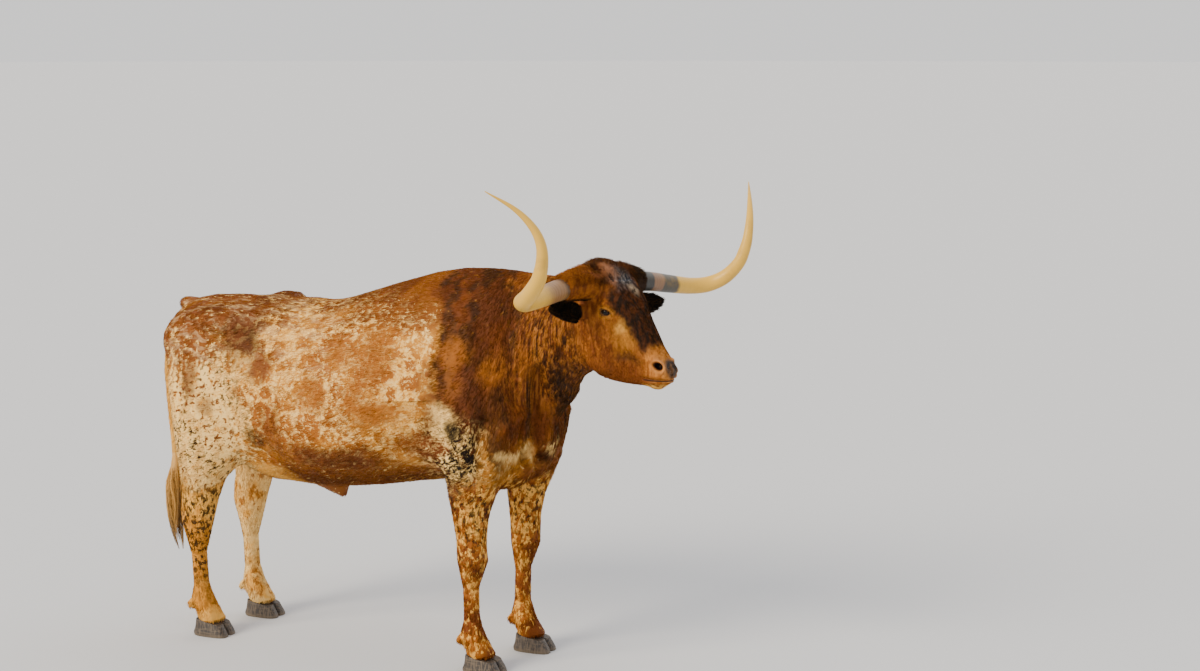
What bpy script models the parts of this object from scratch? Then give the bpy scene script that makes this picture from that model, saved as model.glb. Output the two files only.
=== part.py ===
"""A life-size Texas longhorn steer that stands still and turns its head to its right.

Metres. +X runs towards the head, +Y to the animal's left, +Z up, and the soles lie at z = 0.
The flesh is laid up as overlapping lofts and lumps, fused into one skin and parted by thin cuts
where a person would name the parts. Horns, eyes, ears, hooves and the tail are their own solids.
"""

import math

import bmesh
import bpy
import numpy as np
from mathutils import Matrix, Vector

for old in list(bpy.data.objects):
    bpy.data.objects.remove(old, do_unlink=True)

# Driving sizes
GAP = 0.0003
HEAD_AT = Vector((1.017, -0.120, 1.541))
HEAD_TURN = math.radians(-15.2)
HEAD_TILT = math.radians(2.0)
FACE_SLOPE = math.radians(50.0)
EYE_RADIUS = 0.0205
EYE_PLACE = (0.124, 0.002, 0.0905)
LID_DEPTH = 0.0050
NEAR_HORN_ROOT = 0.256
FAR_HORN_ROOT = 0.190
FAR_HORN_SLIM = 0.94
EAR_ROOT = 0.110
EAR_LENGTH = 0.200
EAR_LEVEL = -0.102
EAR_BACK = -0.028
EAR_LOWER = 0.85
NEAR_EAR_SWING = (0.022, 0.022)
FAR_EAR_SWING = (0.066, 0.026)
TAIL_ROOT = Vector((-0.925, 0.0, 1.314))
TAIL_WAY = Vector((-0.78, 0.0, -0.62)).normalized()
SWITCH_TOP = 0.700
SWITCH_KEYS = [(0.0, -1.000, -0.020, 0.0220), (0.055, -1.000, -0.026, 0.038), (0.140, -1.001, -0.034, 0.044),
               (0.230, -0.997, -0.040, 0.041), (0.310, -0.988, -0.043, 0.034), (0.390, -0.974, -0.045, 0.014)]
CORE_DEPTH = 0.190
CORE_SHARE = 0.60
LOCK_COUNT = 21
LOCK_FIRST = 0.020
LOCK_LAST = 0.150
LOCK_LENGTH = 0.226
LOCK_WIDTH = 0.0150
LOCK_THICKNESS = 0.0060
LOCK_ROOT = 0.22
LOCK_TAPER = (0.62, 0.90, 1.00, 0.98, 0.84, 0.58, 0.16)
CLEFT_ROOM = 0.006
CORONET = 0.062
CORONET_SLOPE = 0.18
FAR_HIND_STEP = 0.030
FAR_FORE_STEP = 0.050

# Detail
BODY_VOXEL = 0.010
HEAD_VOXEL = 0.0035
BODY_ROUNDS = 40
HEAD_ROUNDS = 44
BODY_TRIANGLES = 5680
HEAD_TRIANGLES = 3300

HIDE_COLOUR = (0.42, 0.17, 0.06)
CREAM_COLOUR = (0.66, 0.52, 0.38)
DARK_COLOUR = (0.06, 0.035, 0.025)
HORN_COLOUR = (0.72, 0.62, 0.46)
HOOF_COLOUR = (0.10, 0.08, 0.065)
EYE_COLOUR = (0.015, 0.010, 0.008)


def material(name, colour, roughness):
    """A plain surface in one colour."""
    new = bpy.data.materials.new(name)
    new.use_nodes = True
    shader = new.node_tree.nodes["Principled BSDF"]
    shader.inputs["Base Color"].default_value = (*colour, 1.0)
    shader.inputs["Roughness"].default_value = roughness
    shader.inputs["Metallic"].default_value = 0.0
    return new


HIDE = material("hide", HIDE_COLOUR, 0.85)
CREAM = material("cream hide", CREAM_COLOUR, 0.85)
DARK = material("dark ear", DARK_COLOUR, 0.85)
HORN = material("horn", HORN_COLOUR, 0.45)
HOOF = material("hoof", HOOF_COLOUR, 0.55)
EYE = material("eye", EYE_COLOUR, 0.08)


def through(keys, places):
    """Rows read at PLACES from a smooth curve through the key rows, whose first column is the place."""
    keys = np.asarray(keys, dtype=float)
    at, values = keys[:, 0], keys[:, 1:]
    slopes = np.gradient(values, at, axis=0)
    places = np.asarray(places, dtype=float)
    left = np.clip(np.searchsorted(at, places, side="right") - 1, 0, len(at) - 2)
    span = (at[left + 1] - at[left])[:, None]
    part = (places - at[left])[:, None] / span
    rest = 1 - part
    return ((1 + 2 * part) * rest ** 2 * values[left] + part * rest ** 2 * span * slopes[left]
            + part ** 2 * (3 - 2 * part) * values[left + 1] - part ** 2 * rest * span * slopes[left + 1])


def closed_curve(corners, count):
    """COUNT points on the closed smooth curve through each row's corners."""
    total = corners.shape[1]
    at = np.arange(count) * total / count
    first = np.floor(at).astype(int)
    part = (at - first)[None, :, None]
    before, here, after, beyond = (corners[:, (first + step) % total] for step in (-1, 0, 1, 2))
    return 0.5 * (2 * here + (after - before) * part
                  + (2 * before - 5 * here + 4 * after - beyond) * part ** 2
                  + (3 * here - before - 3 * after + beyond) * part ** 3)


def mesh_object(name, points, faces):
    """A new object from points and faces, with its faces turned outwards."""
    mesh = bpy.data.meshes.new(name)
    mesh.from_pydata([tuple(map(float, point)) for point in points], [], faces)
    shape = bmesh.new()
    shape.from_mesh(mesh)
    bmesh.ops.recalc_face_normals(shape, faces=shape.faces)
    shape.to_mesh(mesh)
    shape.free()
    piece = bpy.data.objects.new(name, mesh)
    bpy.context.scene.collection.objects.link(piece)
    return piece


def shell(name, rings):
    """A closed skin over a stack of rings, with a flat face at each end."""
    rows, count = rings.shape[:2]
    faces = [(row * count + side, row * count + (side + 1) % count,
              (row + 1) * count + (side + 1) % count, (row + 1) * count + side)
             for row in range(rows - 1) for side in range(count)]
    faces += [tuple(range(count)), tuple(range((rows - 1) * count, rows * count))]
    return mesh_object(name, rings.reshape(-1, 3), faces)


def rib_loft(name, ribs, rows=28, count=32):
    """A body built on ribs that stand in its middle plane.

    A rib is (top x, top z, low x, low z, middle y, heading in degrees, half width, level of the
    widest place from low to top, fullness above it, fullness below it).
    """
    ribs = np.asarray(ribs, dtype=float)
    keys = np.column_stack([np.arange(len(ribs)), ribs])
    read = through(keys, np.linspace(0, len(ribs) - 1, rows))
    top_x, top_z, low_x, low_z, middle, heading, half, level, above, below = read.T
    top = np.column_stack([top_x, middle, top_z])
    low = np.column_stack([low_x, middle, low_z])
    heading = np.radians(heading)
    side = np.column_stack([-np.sin(heading), np.cos(heading), np.zeros(len(read))]) * half[:, None]
    waist = low + (top - low) * level[:, None]
    above, below = above[:, None], below[:, None]
    left = [waist + (top - waist) * above + side * above, waist + side,
            waist + (low - waist) * below + side * below]
    right = [point - 2 * reach for point, reach in zip(left, (side * above, side, side * below))]
    corners = np.stack([top, *left, low, *right[::-1]], axis=1)
    return shell(name, closed_curve(corners, count))


def column(name, rows, side, step=0.0, count=24, layers=40):
    """A limb built on level slices: (z, back x, front x, middle y, half width, fullness front, back)."""
    rows = np.asarray(rows, dtype=float)
    rows = rows[np.argsort(rows[:, 0])]
    height = np.linspace(rows[0, 0], rows[-1, 0], layers)
    back, front, middle, half, full_front, full_back = through(rows, height).T
    lift = np.clip(1.0 - (height - 0.75) / 0.5, 0.0, 1.0)
    centre = (back + front) / 2 + step * lift
    reach = (front - back) / 2
    ring = [(1, 0, 1), (1, 1, full_front), (0, 1, 1), (-1, 1, full_back), (-1, 0, 1), (-1, -1, full_back),
            (0, -1, 1), (1, -1, full_front)]
    corners = np.stack([np.column_stack([centre + along * reach * full,
                                         side * middle + across * half * full, height])
                        for along, across, full in ring], axis=1)
    return shell(name, closed_curve(corners, count))


def blob(name, centre, radii, turn=(0.0, 0.0, 0.0), detail=3):
    """A lump: a ball stretched along its own axes and turned, in degrees."""
    shape = bmesh.new()
    turned = Matrix.Rotation(math.radians(turn[2]), 4, "Z") @ Matrix.Rotation(math.radians(turn[1]), 4, "Y")
    turned = turned @ Matrix.Rotation(math.radians(turn[0]), 4, "X")
    place = Matrix.Translation(centre) @ turned @ Matrix.Diagonal((*radii, 1.0))
    bmesh.ops.create_icosphere(shape, subdivisions=detail, radius=1.0, matrix=place)
    mesh = bpy.data.meshes.new(name)
    shape.to_mesh(mesh)
    shape.free()
    piece = bpy.data.objects.new(name, mesh)
    bpy.context.scene.collection.objects.link(piece)
    return piece


def tube_rings(points, radii, count, rows, flat=1.0, up=(0.0, 0.0, 1.0)):
    """Rings along the smooth path through the points; FLAT squeezes them along UP."""
    points = np.asarray(points, dtype=float)
    keys = np.column_stack([np.arange(len(points)), points, radii])
    read = through(keys, np.linspace(0, len(points) - 1, rows))
    path, radius = read[:, :3], read[:, 3]
    ahead = np.gradient(path, axis=0)
    ahead /= np.linalg.norm(ahead, axis=1)[:, None]
    wide = np.cross(ahead, np.asarray(up))
    wide /= np.linalg.norm(wide, axis=1)[:, None]
    high = np.cross(wide, ahead) * flat
    turn = np.arange(count) * 2 * math.pi / count
    return (path[:, None] + radius[:, None, None]
            * (np.cos(turn)[None, :, None] * wide[:, None] + np.sin(turn)[None, :, None] * high[:, None]))


def tube(name, points, radii, count=16, rows=24, flat=1.0, up=(0.0, 0.0, 1.0)):
    """A round or flattened tube with flat ends."""
    return shell(name, tube_rings(points, radii, count, rows, flat, up))


def drop(piece):
    """Removes a helper and its mesh."""
    mesh = piece.data
    bpy.data.objects.remove(piece, do_unlink=True)
    bpy.data.meshes.remove(mesh)


def largest(mesh):
    """Keeps only the largest closed surface of a mesh."""
    shape = bmesh.new()
    shape.from_mesh(mesh)
    bmesh.ops.remove_doubles(shape, verts=shape.verts, dist=1e-6)
    bmesh.ops.triangulate(shape, faces=shape.faces)
    unseen = set(shape.verts)
    groups = []
    while unseen:
        group = {unseen.pop()}
        edge_of_group = list(group)
        while edge_of_group:
            vertex = edge_of_group.pop()
            for edge in vertex.link_edges:
                other = edge.other_vert(vertex)
                if other in unseen:
                    unseen.discard(other)
                    group.add(other)
                    edge_of_group.append(other)
        groups.append(group)
    groups.sort(key=len)
    for group in groups[:-1]:
        bmesh.ops.delete(shape, geom=list(group), context="VERTS")
    shape.to_mesh(mesh)
    shape.free()


def bake(piece):
    """Turns a piece with its modifiers into a plain mesh."""
    depsgraph = bpy.context.evaluated_depsgraph_get()
    mesh = bpy.data.meshes.new_from_object(piece.evaluated_get(depsgraph))
    old = piece.data
    piece.modifiers.clear()
    piece.data = mesh
    bpy.data.meshes.remove(old)
    return piece


def joined(name, pieces):
    """One object that holds the meshes of several, which are removed."""
    shape = bmesh.new()
    for piece in pieces:
        shape.from_mesh(piece.data)
    mesh = bpy.data.meshes.new(name)
    shape.to_mesh(mesh)
    shape.free()
    for piece in pieces:
        drop(piece)
    whole = bpy.data.objects.new(name, mesh)
    bpy.context.scene.collection.objects.link(whole)
    return whole


def fused(name, pieces, voxel, rounds, softness, triangles):
    """Fuses overlapping pieces into one skin of about so many triangles.

    SOFTNESS gives, for an array of points, how far from 0 to 1 each one takes part in the smoothing.
    """
    whole = joined(name, pieces)
    remesh = whole.modifiers.new("one skin", "REMESH")
    remesh.mode = "VOXEL"
    remesh.voxel_size = voxel
    bake(whole)
    points = np.empty(len(whole.data.vertices) * 3)
    whole.data.vertices.foreach_get("co", points)
    share = softness(points.reshape(-1, 3))
    group = whole.vertex_groups.new(name="soft")
    for level in range(1, 21):
        chosen = np.flatnonzero(np.round(share * 20) == level)
        group.add(chosen.tolist(), level / 20, "REPLACE")
    soften = whole.modifiers.new("soften", "SMOOTH")
    soften.factor = 0.5
    soften.iterations = rounds
    soften.vertex_group = "soft"
    bake(whole)
    whole.data.calc_loop_triangles()
    thin = whole.modifiers.new("fewer faces", "DECIMATE")
    thin.ratio = triangles / len(whole.data.loop_triangles)
    bake(whole)
    largest(whole.data)
    return whole


def body_softness(points):
    """The trunk is smoothed most, the legs below it and the head least."""
    low = np.clip((points[:, 2] - 0.56) / 0.30, 0.0, 1.0)
    head = np.clip((0.93 - points[:, 0]) / 0.10, 0.0, 1.0)
    fold = np.clip((0.74 - points[:, 0]) / 0.10, 0.0, 1.0)
    return 0.14 + 0.86 * low * np.maximum(head * (points[:, 2] > 1.1), fold)


def head_softness(points):
    """Cheeks and neck are smoothed most, the lids and the muzzle least."""
    inverse = np.array(HEAD.inverted())
    local = points @ inverse[:3, :3].T + inverse[:3, 3]
    share = np.ones(len(points))
    for side in (-1, 1):
        eye = np.array(face(EYE_PLACE[0], EYE_PLACE[1], side * EYE_PLACE[2]))
        away = np.linalg.norm(local - eye, axis=1)
        share = np.minimum(share, np.clip((away - 0.024) / 0.050, 0.05, 1.0))
    along = local @ np.array(face(1.0, 0.0))
    return np.minimum(share, np.clip((0.38 - along) / 0.14, 0.2, 1.0))


def combined(piece, other, operation, solver="EXACT"):
    """Cuts a piece by another closed mesh or keeps what they share; the other mesh is removed."""
    cut = piece.modifiers.new(operation, "BOOLEAN")
    cut.operation = operation
    cut.object = other
    cut.solver = solver
    bake(piece)
    drop(other)
    largest(piece.data)
    return piece


def copy_of(piece, name):
    """A copy with its own mesh."""
    new = bpy.data.objects.new(name, piece.data.copy())
    bpy.context.scene.collection.objects.link(new)
    return new


def behind_plane(piece, point, normal):
    """Keeps what lies behind a plane and closes the cut with a flat face."""
    shape = bmesh.new()
    shape.from_mesh(piece.data)
    normal = Vector(normal).normalized()
    cut = bmesh.ops.bisect_plane(shape, geom=[*shape.verts, *shape.edges, *shape.faces], dist=1e-7,
                                 plane_co=point, plane_no=normal, clear_outer=True)
    edges = [item for item in cut["geom_cut"] if isinstance(item, bmesh.types.BMEdge)]
    bmesh.ops.triangle_fill(shape, edges=edges, use_beauty=True, normal=normal)
    bmesh.ops.recalc_face_normals(shape, faces=shape.faces)
    shape.to_mesh(piece.data)
    shape.free()
    largest(piece.data)
    return piece


def parted(piece, name, point, normal):
    """Splits a piece in two at a plane, half a gap to each side; the new piece lies in front of it."""
    normal = Vector(normal).normalized()
    point = Vector(point)
    front = behind_plane(copy_of(piece, name), point + normal * GAP / 2, -normal)
    behind_plane(piece, point - normal * GAP / 2, normal)
    return front


def hull(name, points, grow=0.0):
    """The convex solid around a few points, grown outwards a little."""
    shape = bmesh.new()
    for point in points:
        shape.verts.new(point)
    bmesh.ops.convex_hull(shape, input=shape.verts)
    bmesh.ops.recalc_face_normals(shape, faces=shape.faces)
    shape.normal_update()
    shifts = [vertex.normal * grow for vertex in shape.verts]
    for vertex, shift in zip(shape.verts, shifts):
        vertex.co += shift
    mesh = bpy.data.meshes.new(name)
    shape.to_mesh(mesh)
    shape.free()
    piece = bpy.data.objects.new(name, mesh)
    bpy.context.scene.collection.objects.link(piece)
    return piece


def seat(piece, point, axis, radius, length):
    """Cuts a flat-bottomed round seat, which opens along the axis, for a part that is set on it."""
    shape = bmesh.new()
    axis = Vector(axis).normalized()
    turn = axis.to_track_quat("Z", "Y").to_matrix().to_4x4()
    place = Matrix.Translation(Vector(point) + axis * length / 2) @ turn
    bmesh.ops.create_cone(shape, cap_ends=True, segments=24, radius1=radius, radius2=radius, depth=length,
                          matrix=place)
    mesh = bpy.data.meshes.new("seat")
    shape.to_mesh(mesh)
    shape.free()
    cutter = bpy.data.objects.new("seat", mesh)
    bpy.context.scene.collection.objects.link(cutter)
    return combined(piece, cutter, "DIFFERENCE")


def place_all(pieces, matrix):
    """Moves meshes by a matrix and leaves their objects at the origin."""
    for piece in pieces:
        piece.data.transform(matrix)
        if matrix.to_3x3().determinant() < 0:
            piece.data.flip_normals()
    return pieces


# The head's frame: x forward, y to its left, z up, from the middle of the line between the horn roots
HEAD = (Matrix.Translation(HEAD_AT) @ Matrix.Rotation(HEAD_TURN, 4, "Z")
        @ Matrix.Rotation(-HEAD_TILT, 4, "X"))


def face(along, out, side=0.0):
    """A point in the head's frame from its place along the slope of the face and out from it."""
    return Vector((along * math.cos(FACE_SLOPE) + out * math.sin(FACE_SLOPE), side,
                   -along * math.sin(FACE_SLOPE) + out * math.cos(FACE_SLOPE)))


def torso_pieces():
    """The barrel on its ribs, with hips, pins, shoulders, brisket and sheath."""
    # x, top, low, level of the widest place, half width, fullness above and below
    barrel = [(-0.950, 1.230, 1.110, 0.50, 0.075, 0.72, 0.72),
              (-0.910, 1.332, 1.000, 0.55, 0.150, 0.72, 0.72),
              (-0.850, 1.382, 0.880, 0.60, 0.212, 0.74, 0.72),
              (-0.700, 1.400, 0.760, 0.60, 0.255, 0.76, 0.70),
              (-0.550, 1.400, 0.658, 0.56, 0.290, 0.76, 0.70),
              (-0.400, 1.400, 0.648, 0.52, 0.325, 0.74, 0.70),
              (-0.200, 1.406, 0.648, 0.47, 0.362, 0.72, 0.70),
              (0.000, 1.464, 0.672, 0.44, 0.375, 0.70, 0.71),
              (0.150, 1.511, 0.698, 0.44, 0.362, 0.67, 0.71),
              (0.300, 1.551, 0.722, 0.44, 0.330, 0.65, 0.71),
              (0.450, 1.566, 0.738, 0.42, 0.300, 0.64, 0.72),
              (0.600, 1.557, 0.755, 0.40, 0.255, 0.64, 0.72),
              (0.700, 1.480, 0.810, 0.40, 0.190, 0.66, 0.70),
              (0.760, 1.330, 0.900, 0.45, 0.110, 0.70, 0.70)]
    ribs = [(x, top, x, low, 0.0, 0.0, half, level, above, below)
            for x, top, low, level, half, above, below in barrel]
    pieces = [rib_loft("barrel", ribs, rows=44, count=36)]
    pieces.append(blob("tail head", (-0.893, 0.0, 1.336), (0.090, 0.052, 0.044), (0, 22, 0)))
    pieces.append(blob("cod", (-0.640, 0.0, 0.745), (0.060, 0.050, 0.050)))
    sheath = [(-0.360, 0, 0.690), (-0.280, 0, 0.668), (-0.225, 0, 0.640), (-0.200, 0, 0.612),
              (-0.190, 0, 0.594)]
    pieces.append(tube("sheath", sheath, (0.044, 0.044, 0.038, 0.024, 0.010), rows=12))
    pieces.append(rib_loft("brisket fold", dewlap_ribs(), rows=20, count=16))
    for side in (-1, 1):
        hook_at = (-0.585, side * 0.212, 1.322) if side < 0 else (-0.585, side * 0.235, 1.346)
        pieces.append(blob("hook", hook_at, (0.090, 0.060, 0.052), (0, 4, side * 10)))
        pieces.append(blob("hip shelf", (-0.600, side * 0.150, 1.318), (0.200, 0.130, 0.066)))
        pieces.append(blob("loin edge", (-0.400, side * 0.130, 1.330), (0.230, 0.095, 0.058)))
        pieces.append(blob("pin", (-0.922, side * 0.098, 1.190), (0.060, 0.052, 0.075)))
        pieces.append(blob("rump", (-0.760, side * 0.135, 1.215), (0.190, 0.130, 0.150)))
        pieces.append(blob("paunch", (-0.130, side * 0.195, 0.950), (0.360, 0.185, 0.235)))
        pieces.append(blob("blade", (0.400, side * 0.190, 1.200), (0.160, 0.100, 0.270), (side * 18, 18, 0)))
        pieces.append(blob("shoulder", (0.500, side * 0.225, 1.030), (0.190, 0.090, 0.180), (0, 15, 0)))
        pieces.append(blob("shoulder point", (0.652, side * 0.180, 0.985), (0.090, 0.075, 0.125)))
        pieces.append(blob("elbow", (0.420, side * 0.235, 0.905), (0.085, 0.062, 0.105)))
        pieces.append(blob("breast", (0.612, side * 0.112, 0.845), (0.110, 0.080, 0.125), (0, 12, 0)))
    return pieces


def dewlap_ribs():
    """The loose fold from the throat down to the brisket, from inside the neck to its free edge."""
    # inner x, inner z, edge x, edge z, half width
    fold = [(0.480, 0.900, 0.535, 0.725, 0.100), (0.550, 0.980, 0.655, 0.742, 0.085),
            (0.600, 1.050, 0.722, 0.790, 0.060), (0.640, 1.120, 0.752, 0.872, 0.042),
            (0.690, 1.180, 0.762, 0.960, 0.038), (0.750, 1.240, 0.814, 1.055, 0.042),
            (0.825, 1.295, 0.885, 1.150, 0.052)]
    turn = [(0.0, 0.0), (0.0, 0.0), (0.0, 0.0), (0.0, 0.0), (-0.005, -2.0), (-0.030, -8.0), (-0.060, -12.0)]
    return [(inner_x, inner_z, edge_x, edge_z, middle, heading, half, 0.45, 0.80, 0.78)
            for (inner_x, inner_z, edge_x, edge_z, half), (middle, heading) in zip(fold, turn)]


def neck_pieces():
    """The neck on ribs that turn with it."""
    ribs = [(0.400, 1.562, 0.580, 0.830, 0.000, 0.0, 0.250, 0.44, 0.62, 0.70),
            (0.560, 1.563, 0.700, 0.900, 0.000, 0.0, 0.205, 0.46, 0.62, 0.66),
            (0.700, 1.556, 0.738, 0.990, -0.008, -4.0, 0.170, 0.48, 0.62, 0.64),
            (0.800, 1.552, 0.818, 1.085, -0.032, -9.0, 0.150, 0.50, 0.63, 0.64),
            (0.885, 1.574, 0.893, 1.170, -0.065, -13.0, 0.132, 0.52, 0.66, 0.66),
            (0.960, 1.605, 0.975, 1.215, -0.098, -15.0, 0.112, 0.54, 0.70, 0.68),
            (1.010, 1.600, 1.030, 1.230, -0.112, -15.0, 0.085, 0.54, 0.72, 0.70)]
    return [rib_loft("neck", ribs, rows=30, count=32)]


def hind_leg(side, step):
    """Thigh, gaskin, hock, cannon and pastern in level slices."""
    # z, back x, front x, middle y, half width, fullness in front and behind
    rows = [(1.290, -0.870, -0.640, 0.140, 0.085, 0.72, 0.72),
            (1.180, -0.915, -0.560, 0.155, 0.112, 0.72, 0.72),
            (1.076, -0.902, -0.505, 0.168, 0.126, 0.72, 0.74),
            (0.970, -0.890, -0.480, 0.174, 0.130, 0.70, 0.74),
            (0.870, -0.880, -0.478, 0.178, 0.120, 0.70, 0.74),
            (0.765, -0.874, -0.545, 0.179, 0.100, 0.70, 0.70),
            (0.664, -0.870, -0.658, 0.175, 0.075, 0.72, 0.62),
            (0.590, -0.871, -0.693, 0.171, 0.060, 0.74, 0.55),
            (0.530, -0.878, -0.712, 0.170, 0.050, 0.76, 0.55),
            (0.475, -0.871, -0.728, 0.170, 0.048, 0.76, 0.66),
            (0.420, -0.848, -0.742, 0.170, 0.043, 0.74, 0.72),
            (0.360, -0.832, -0.760, 0.169, 0.034, 0.72, 0.74),
            (0.280, -0.825, -0.760, 0.168, 0.031, 0.72, 0.74),
            (0.200, -0.822, -0.754, 0.167, 0.034, 0.72, 0.74),
            (0.155, -0.828, -0.738, 0.167, 0.044, 0.72, 0.72),
            (0.115, -0.812, -0.716, 0.167, 0.046, 0.72, 0.72),
            (0.080, -0.800, -0.690, 0.167, 0.052, 0.74, 0.72),
            (0.045, -0.800, -0.672, 0.167, 0.054, 0.74, 0.72)]
    pieces = [column("hind leg", rows, side, step)]
    for across in (-1, 1):
        claw_at = (-0.830 + step, side * 0.167 + across * 0.025, 0.126)
        pieces.append(blob("dewclaw", claw_at, (0.019, 0.017, 0.023), (0, 15, 0), detail=2))
    return pieces


def fore_leg(side, step):
    """Upper arm, forearm, knee, cannon and pastern in level slices."""
    rows = [(1.080, 0.380, 0.680, 0.190, 0.090, 0.72, 0.72),
            (0.960, 0.372, 0.690, 0.205, 0.098, 0.72, 0.72),
            (0.870, 0.368, 0.672, 0.208, 0.094, 0.72, 0.70),
            (0.790, 0.380, 0.628, 0.203, 0.082, 0.72, 0.70),
            (0.710, 0.390, 0.590, 0.198, 0.071, 0.72, 0.70),
            (0.640, 0.400, 0.562, 0.194, 0.062, 0.72, 0.70),
            (0.560, 0.412, 0.545, 0.189, 0.053, 0.72, 0.70),
            (0.500, 0.420, 0.540, 0.186, 0.053, 0.76, 0.72),
            (0.450, 0.424, 0.542, 0.184, 0.055, 0.78, 0.74),
            (0.400, 0.432, 0.528, 0.181, 0.045, 0.74, 0.74),
            (0.345, 0.440, 0.508, 0.179, 0.034, 0.72, 0.74),
            (0.270, 0.441, 0.504, 0.176, 0.031, 0.72, 0.74),
            (0.200, 0.440, 0.507, 0.174, 0.034, 0.72, 0.74),
            (0.155, 0.432, 0.520, 0.173, 0.044, 0.72, 0.72),
            (0.115, 0.446, 0.540, 0.172, 0.046, 0.72, 0.72),
            (0.080, 0.455, 0.565, 0.172, 0.053, 0.74, 0.72),
            (0.045, 0.455, 0.583, 0.172, 0.055, 0.74, 0.72)]
    pieces = [column("fore leg", rows, side, step)]
    for across in (-1, 1):
        claw_at = (0.431 + step, side * 0.173 + across * 0.025, 0.126)
        pieces.append(blob("dewclaw", claw_at, (0.019, 0.017, 0.023), (0, 15, 0), detail=2))
    return pieces


def head_pieces():
    """Skull, jaw, brows, muzzle, chin, horn bosses, ear roots and the lumps of the lids."""
    # place along the face, top, low, half width, level of the widest place, fullness above and below
    face_ribs = [(-0.095, 0.018, -0.100, 0.060, 0.50, 0.72, 0.70),
                 (-0.070, 0.043, -0.130, 0.086, 0.55, 0.74, 0.70),
                 (-0.030, 0.063, -0.165, 0.098, 0.62, 0.76, 0.70),
                 (0.020, 0.079, -0.195, 0.102, 0.66, 0.78, 0.70),
                 (0.070, 0.087, -0.215, 0.104, 0.68, 0.80, 0.72),
                 (0.120, 0.086, -0.230, 0.102, 0.68, 0.81, 0.72),
                 (0.165, 0.081, -0.238, 0.097, 0.62, 0.79, 0.73),
                 (0.210, 0.077, -0.236, 0.089, 0.57, 0.79, 0.73),
                 (0.255, 0.072, -0.230, 0.079, 0.55, 0.81, 0.72),
                 (0.300, 0.066, -0.196, 0.069, 0.57, 0.83, 0.70),
                 (0.340, 0.061, -0.155, 0.062, 0.60, 0.84, 0.70),
                 (0.375, 0.059, -0.114, 0.060, 0.62, 0.84, 0.72),
                 (0.405, 0.059, -0.077, 0.060, 0.62, 0.82, 0.72),
                 (0.434, 0.055, -0.048, 0.052, 0.60, 0.76, 0.72),
                 (0.455, 0.040, -0.026, 0.032, 0.56, 0.72, 0.70)]
    ribs = []
    for along, top, low, half, level, above, below in face_ribs:
        top_point, low_point = face(along, top), face(along, low)
        ribs.append((top_point.x, top_point.z, low_point.x, low_point.z, 0.0, 0.0, half, level, above, below))
    pieces = [rib_loft("skull", ribs, rows=40, count=36)]
    slope = math.degrees(FACE_SLOPE)
    pieces.append(blob("poll", (-0.010, 0.0, 0.036), (0.052, 0.085, 0.045)))
    pieces.append(blob("nose pad", face(0.424, 0.020), (0.038, 0.048, 0.034), (0, slope, 0)))
    pieces.append(blob("chin", face(0.424, -0.034), (0.038, 0.036, 0.020), (0, slope - 30, 0)))
    pieces.append(blob("nose bridge", face(0.300, 0.036), (0.110, 0.040, 0.030), (0, slope - 4, 0)))
    for side in (-1, 1):
        root = NEAR_HORN_ROOT if side < 0 else FAR_HORN_ROOT
        boss = [(0.000, side * 0.040, 0.000), (0.000, side * 0.48 * root, 0.007),
                (0.003, side * (root - 0.040), 0.000), (0.006, side * (root + 0.015), -0.007)]
        pieces.append(tube("horn boss", boss, (0.070, 0.061, 0.0495, 0.0450), count=20, rows=16))
        pieces.append(blob("brow", face(0.096, 0.028, side * 0.084), (0.046, 0.030, 0.026),
                           (0, slope, side * 10)))
        pieces.append(blob("under eye", face(0.154, -0.014, side * 0.080), (0.042, 0.019, 0.026),
                           (0, slope, 0)))
        pieces.append(blob("cheek", face(0.188, -0.118, side * 0.047), (0.118, 0.038, 0.108), (0, slope, 0)))
        pieces.append(blob("cheek ridge", face(0.226, -0.004, side * 0.062), (0.080, 0.018, 0.026),
                           (0, slope, side * 6)))
        pieces.append(blob("nostril wing", face(0.398, 0.036, side * 0.040), (0.032, 0.021, 0.024),
                           (0, slope, side * -12)))
        pieces.append(blob("upper lip", face(0.402, -0.006, side * 0.038), (0.038, 0.024, 0.026),
                           (0, slope, side * -10)))
        pieces.append(blob("lid lump", face(EYE_PLACE[0], EYE_PLACE[1], side * EYE_PLACE[2]),
                           (EYE_RADIUS + GAP + LID_DEPTH,) * 3))
        ear_root = [(EAR_BACK, side * out, EAR_LEVEL) for out in (0.060, 0.105, 0.145)]
        pieces.append(tube("ear root", ear_root, (0.032, 0.029, 0.026), count=16, rows=8))
    return place_all(pieces, HEAD)


def socket_and_opening(head, side):
    """Cuts the almond between the lids, then the hollow behind it that holds the eyeball."""
    frame = eye_frame(side)
    turn = np.arange(14) * 2 * math.pi / 14
    across = 0.0190 * np.cos(turn)
    high = np.where(np.sin(turn) > 0, 0.0115, 0.0085) * np.sin(turn) * np.abs(np.sin(turn)) ** 0.25
    rings = []
    for out, grow in ((0.004, 0.55), (0.012, 0.85), (0.034, 1.25)):
        rings.append([frame @ Vector((out, x * grow, z * grow)) for x, z in zip(across, high)])
    almond = shell("almond", np.array([[tuple(point) for point in ring] for ring in rings]))
    combined(head, almond, "DIFFERENCE")
    hollow = bmesh.new()
    round_steps, tall_steps = 20, 12
    clear_radius = (EYE_RADIUS + GAP) / (math.cos(math.pi / round_steps) * math.cos(math.pi / 2 / tall_steps))
    bmesh.ops.create_uvsphere(hollow, u_segments=round_steps, v_segments=tall_steps, radius=clear_radius,
                              matrix=Matrix.Translation(frame.translation))
    mesh = bpy.data.meshes.new("socket")
    hollow.to_mesh(mesh)
    hollow.free()
    cutter = bpy.data.objects.new("socket", mesh)
    bpy.context.scene.collection.objects.link(cutter)
    return combined(head, cutter, "DIFFERENCE")


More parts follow.
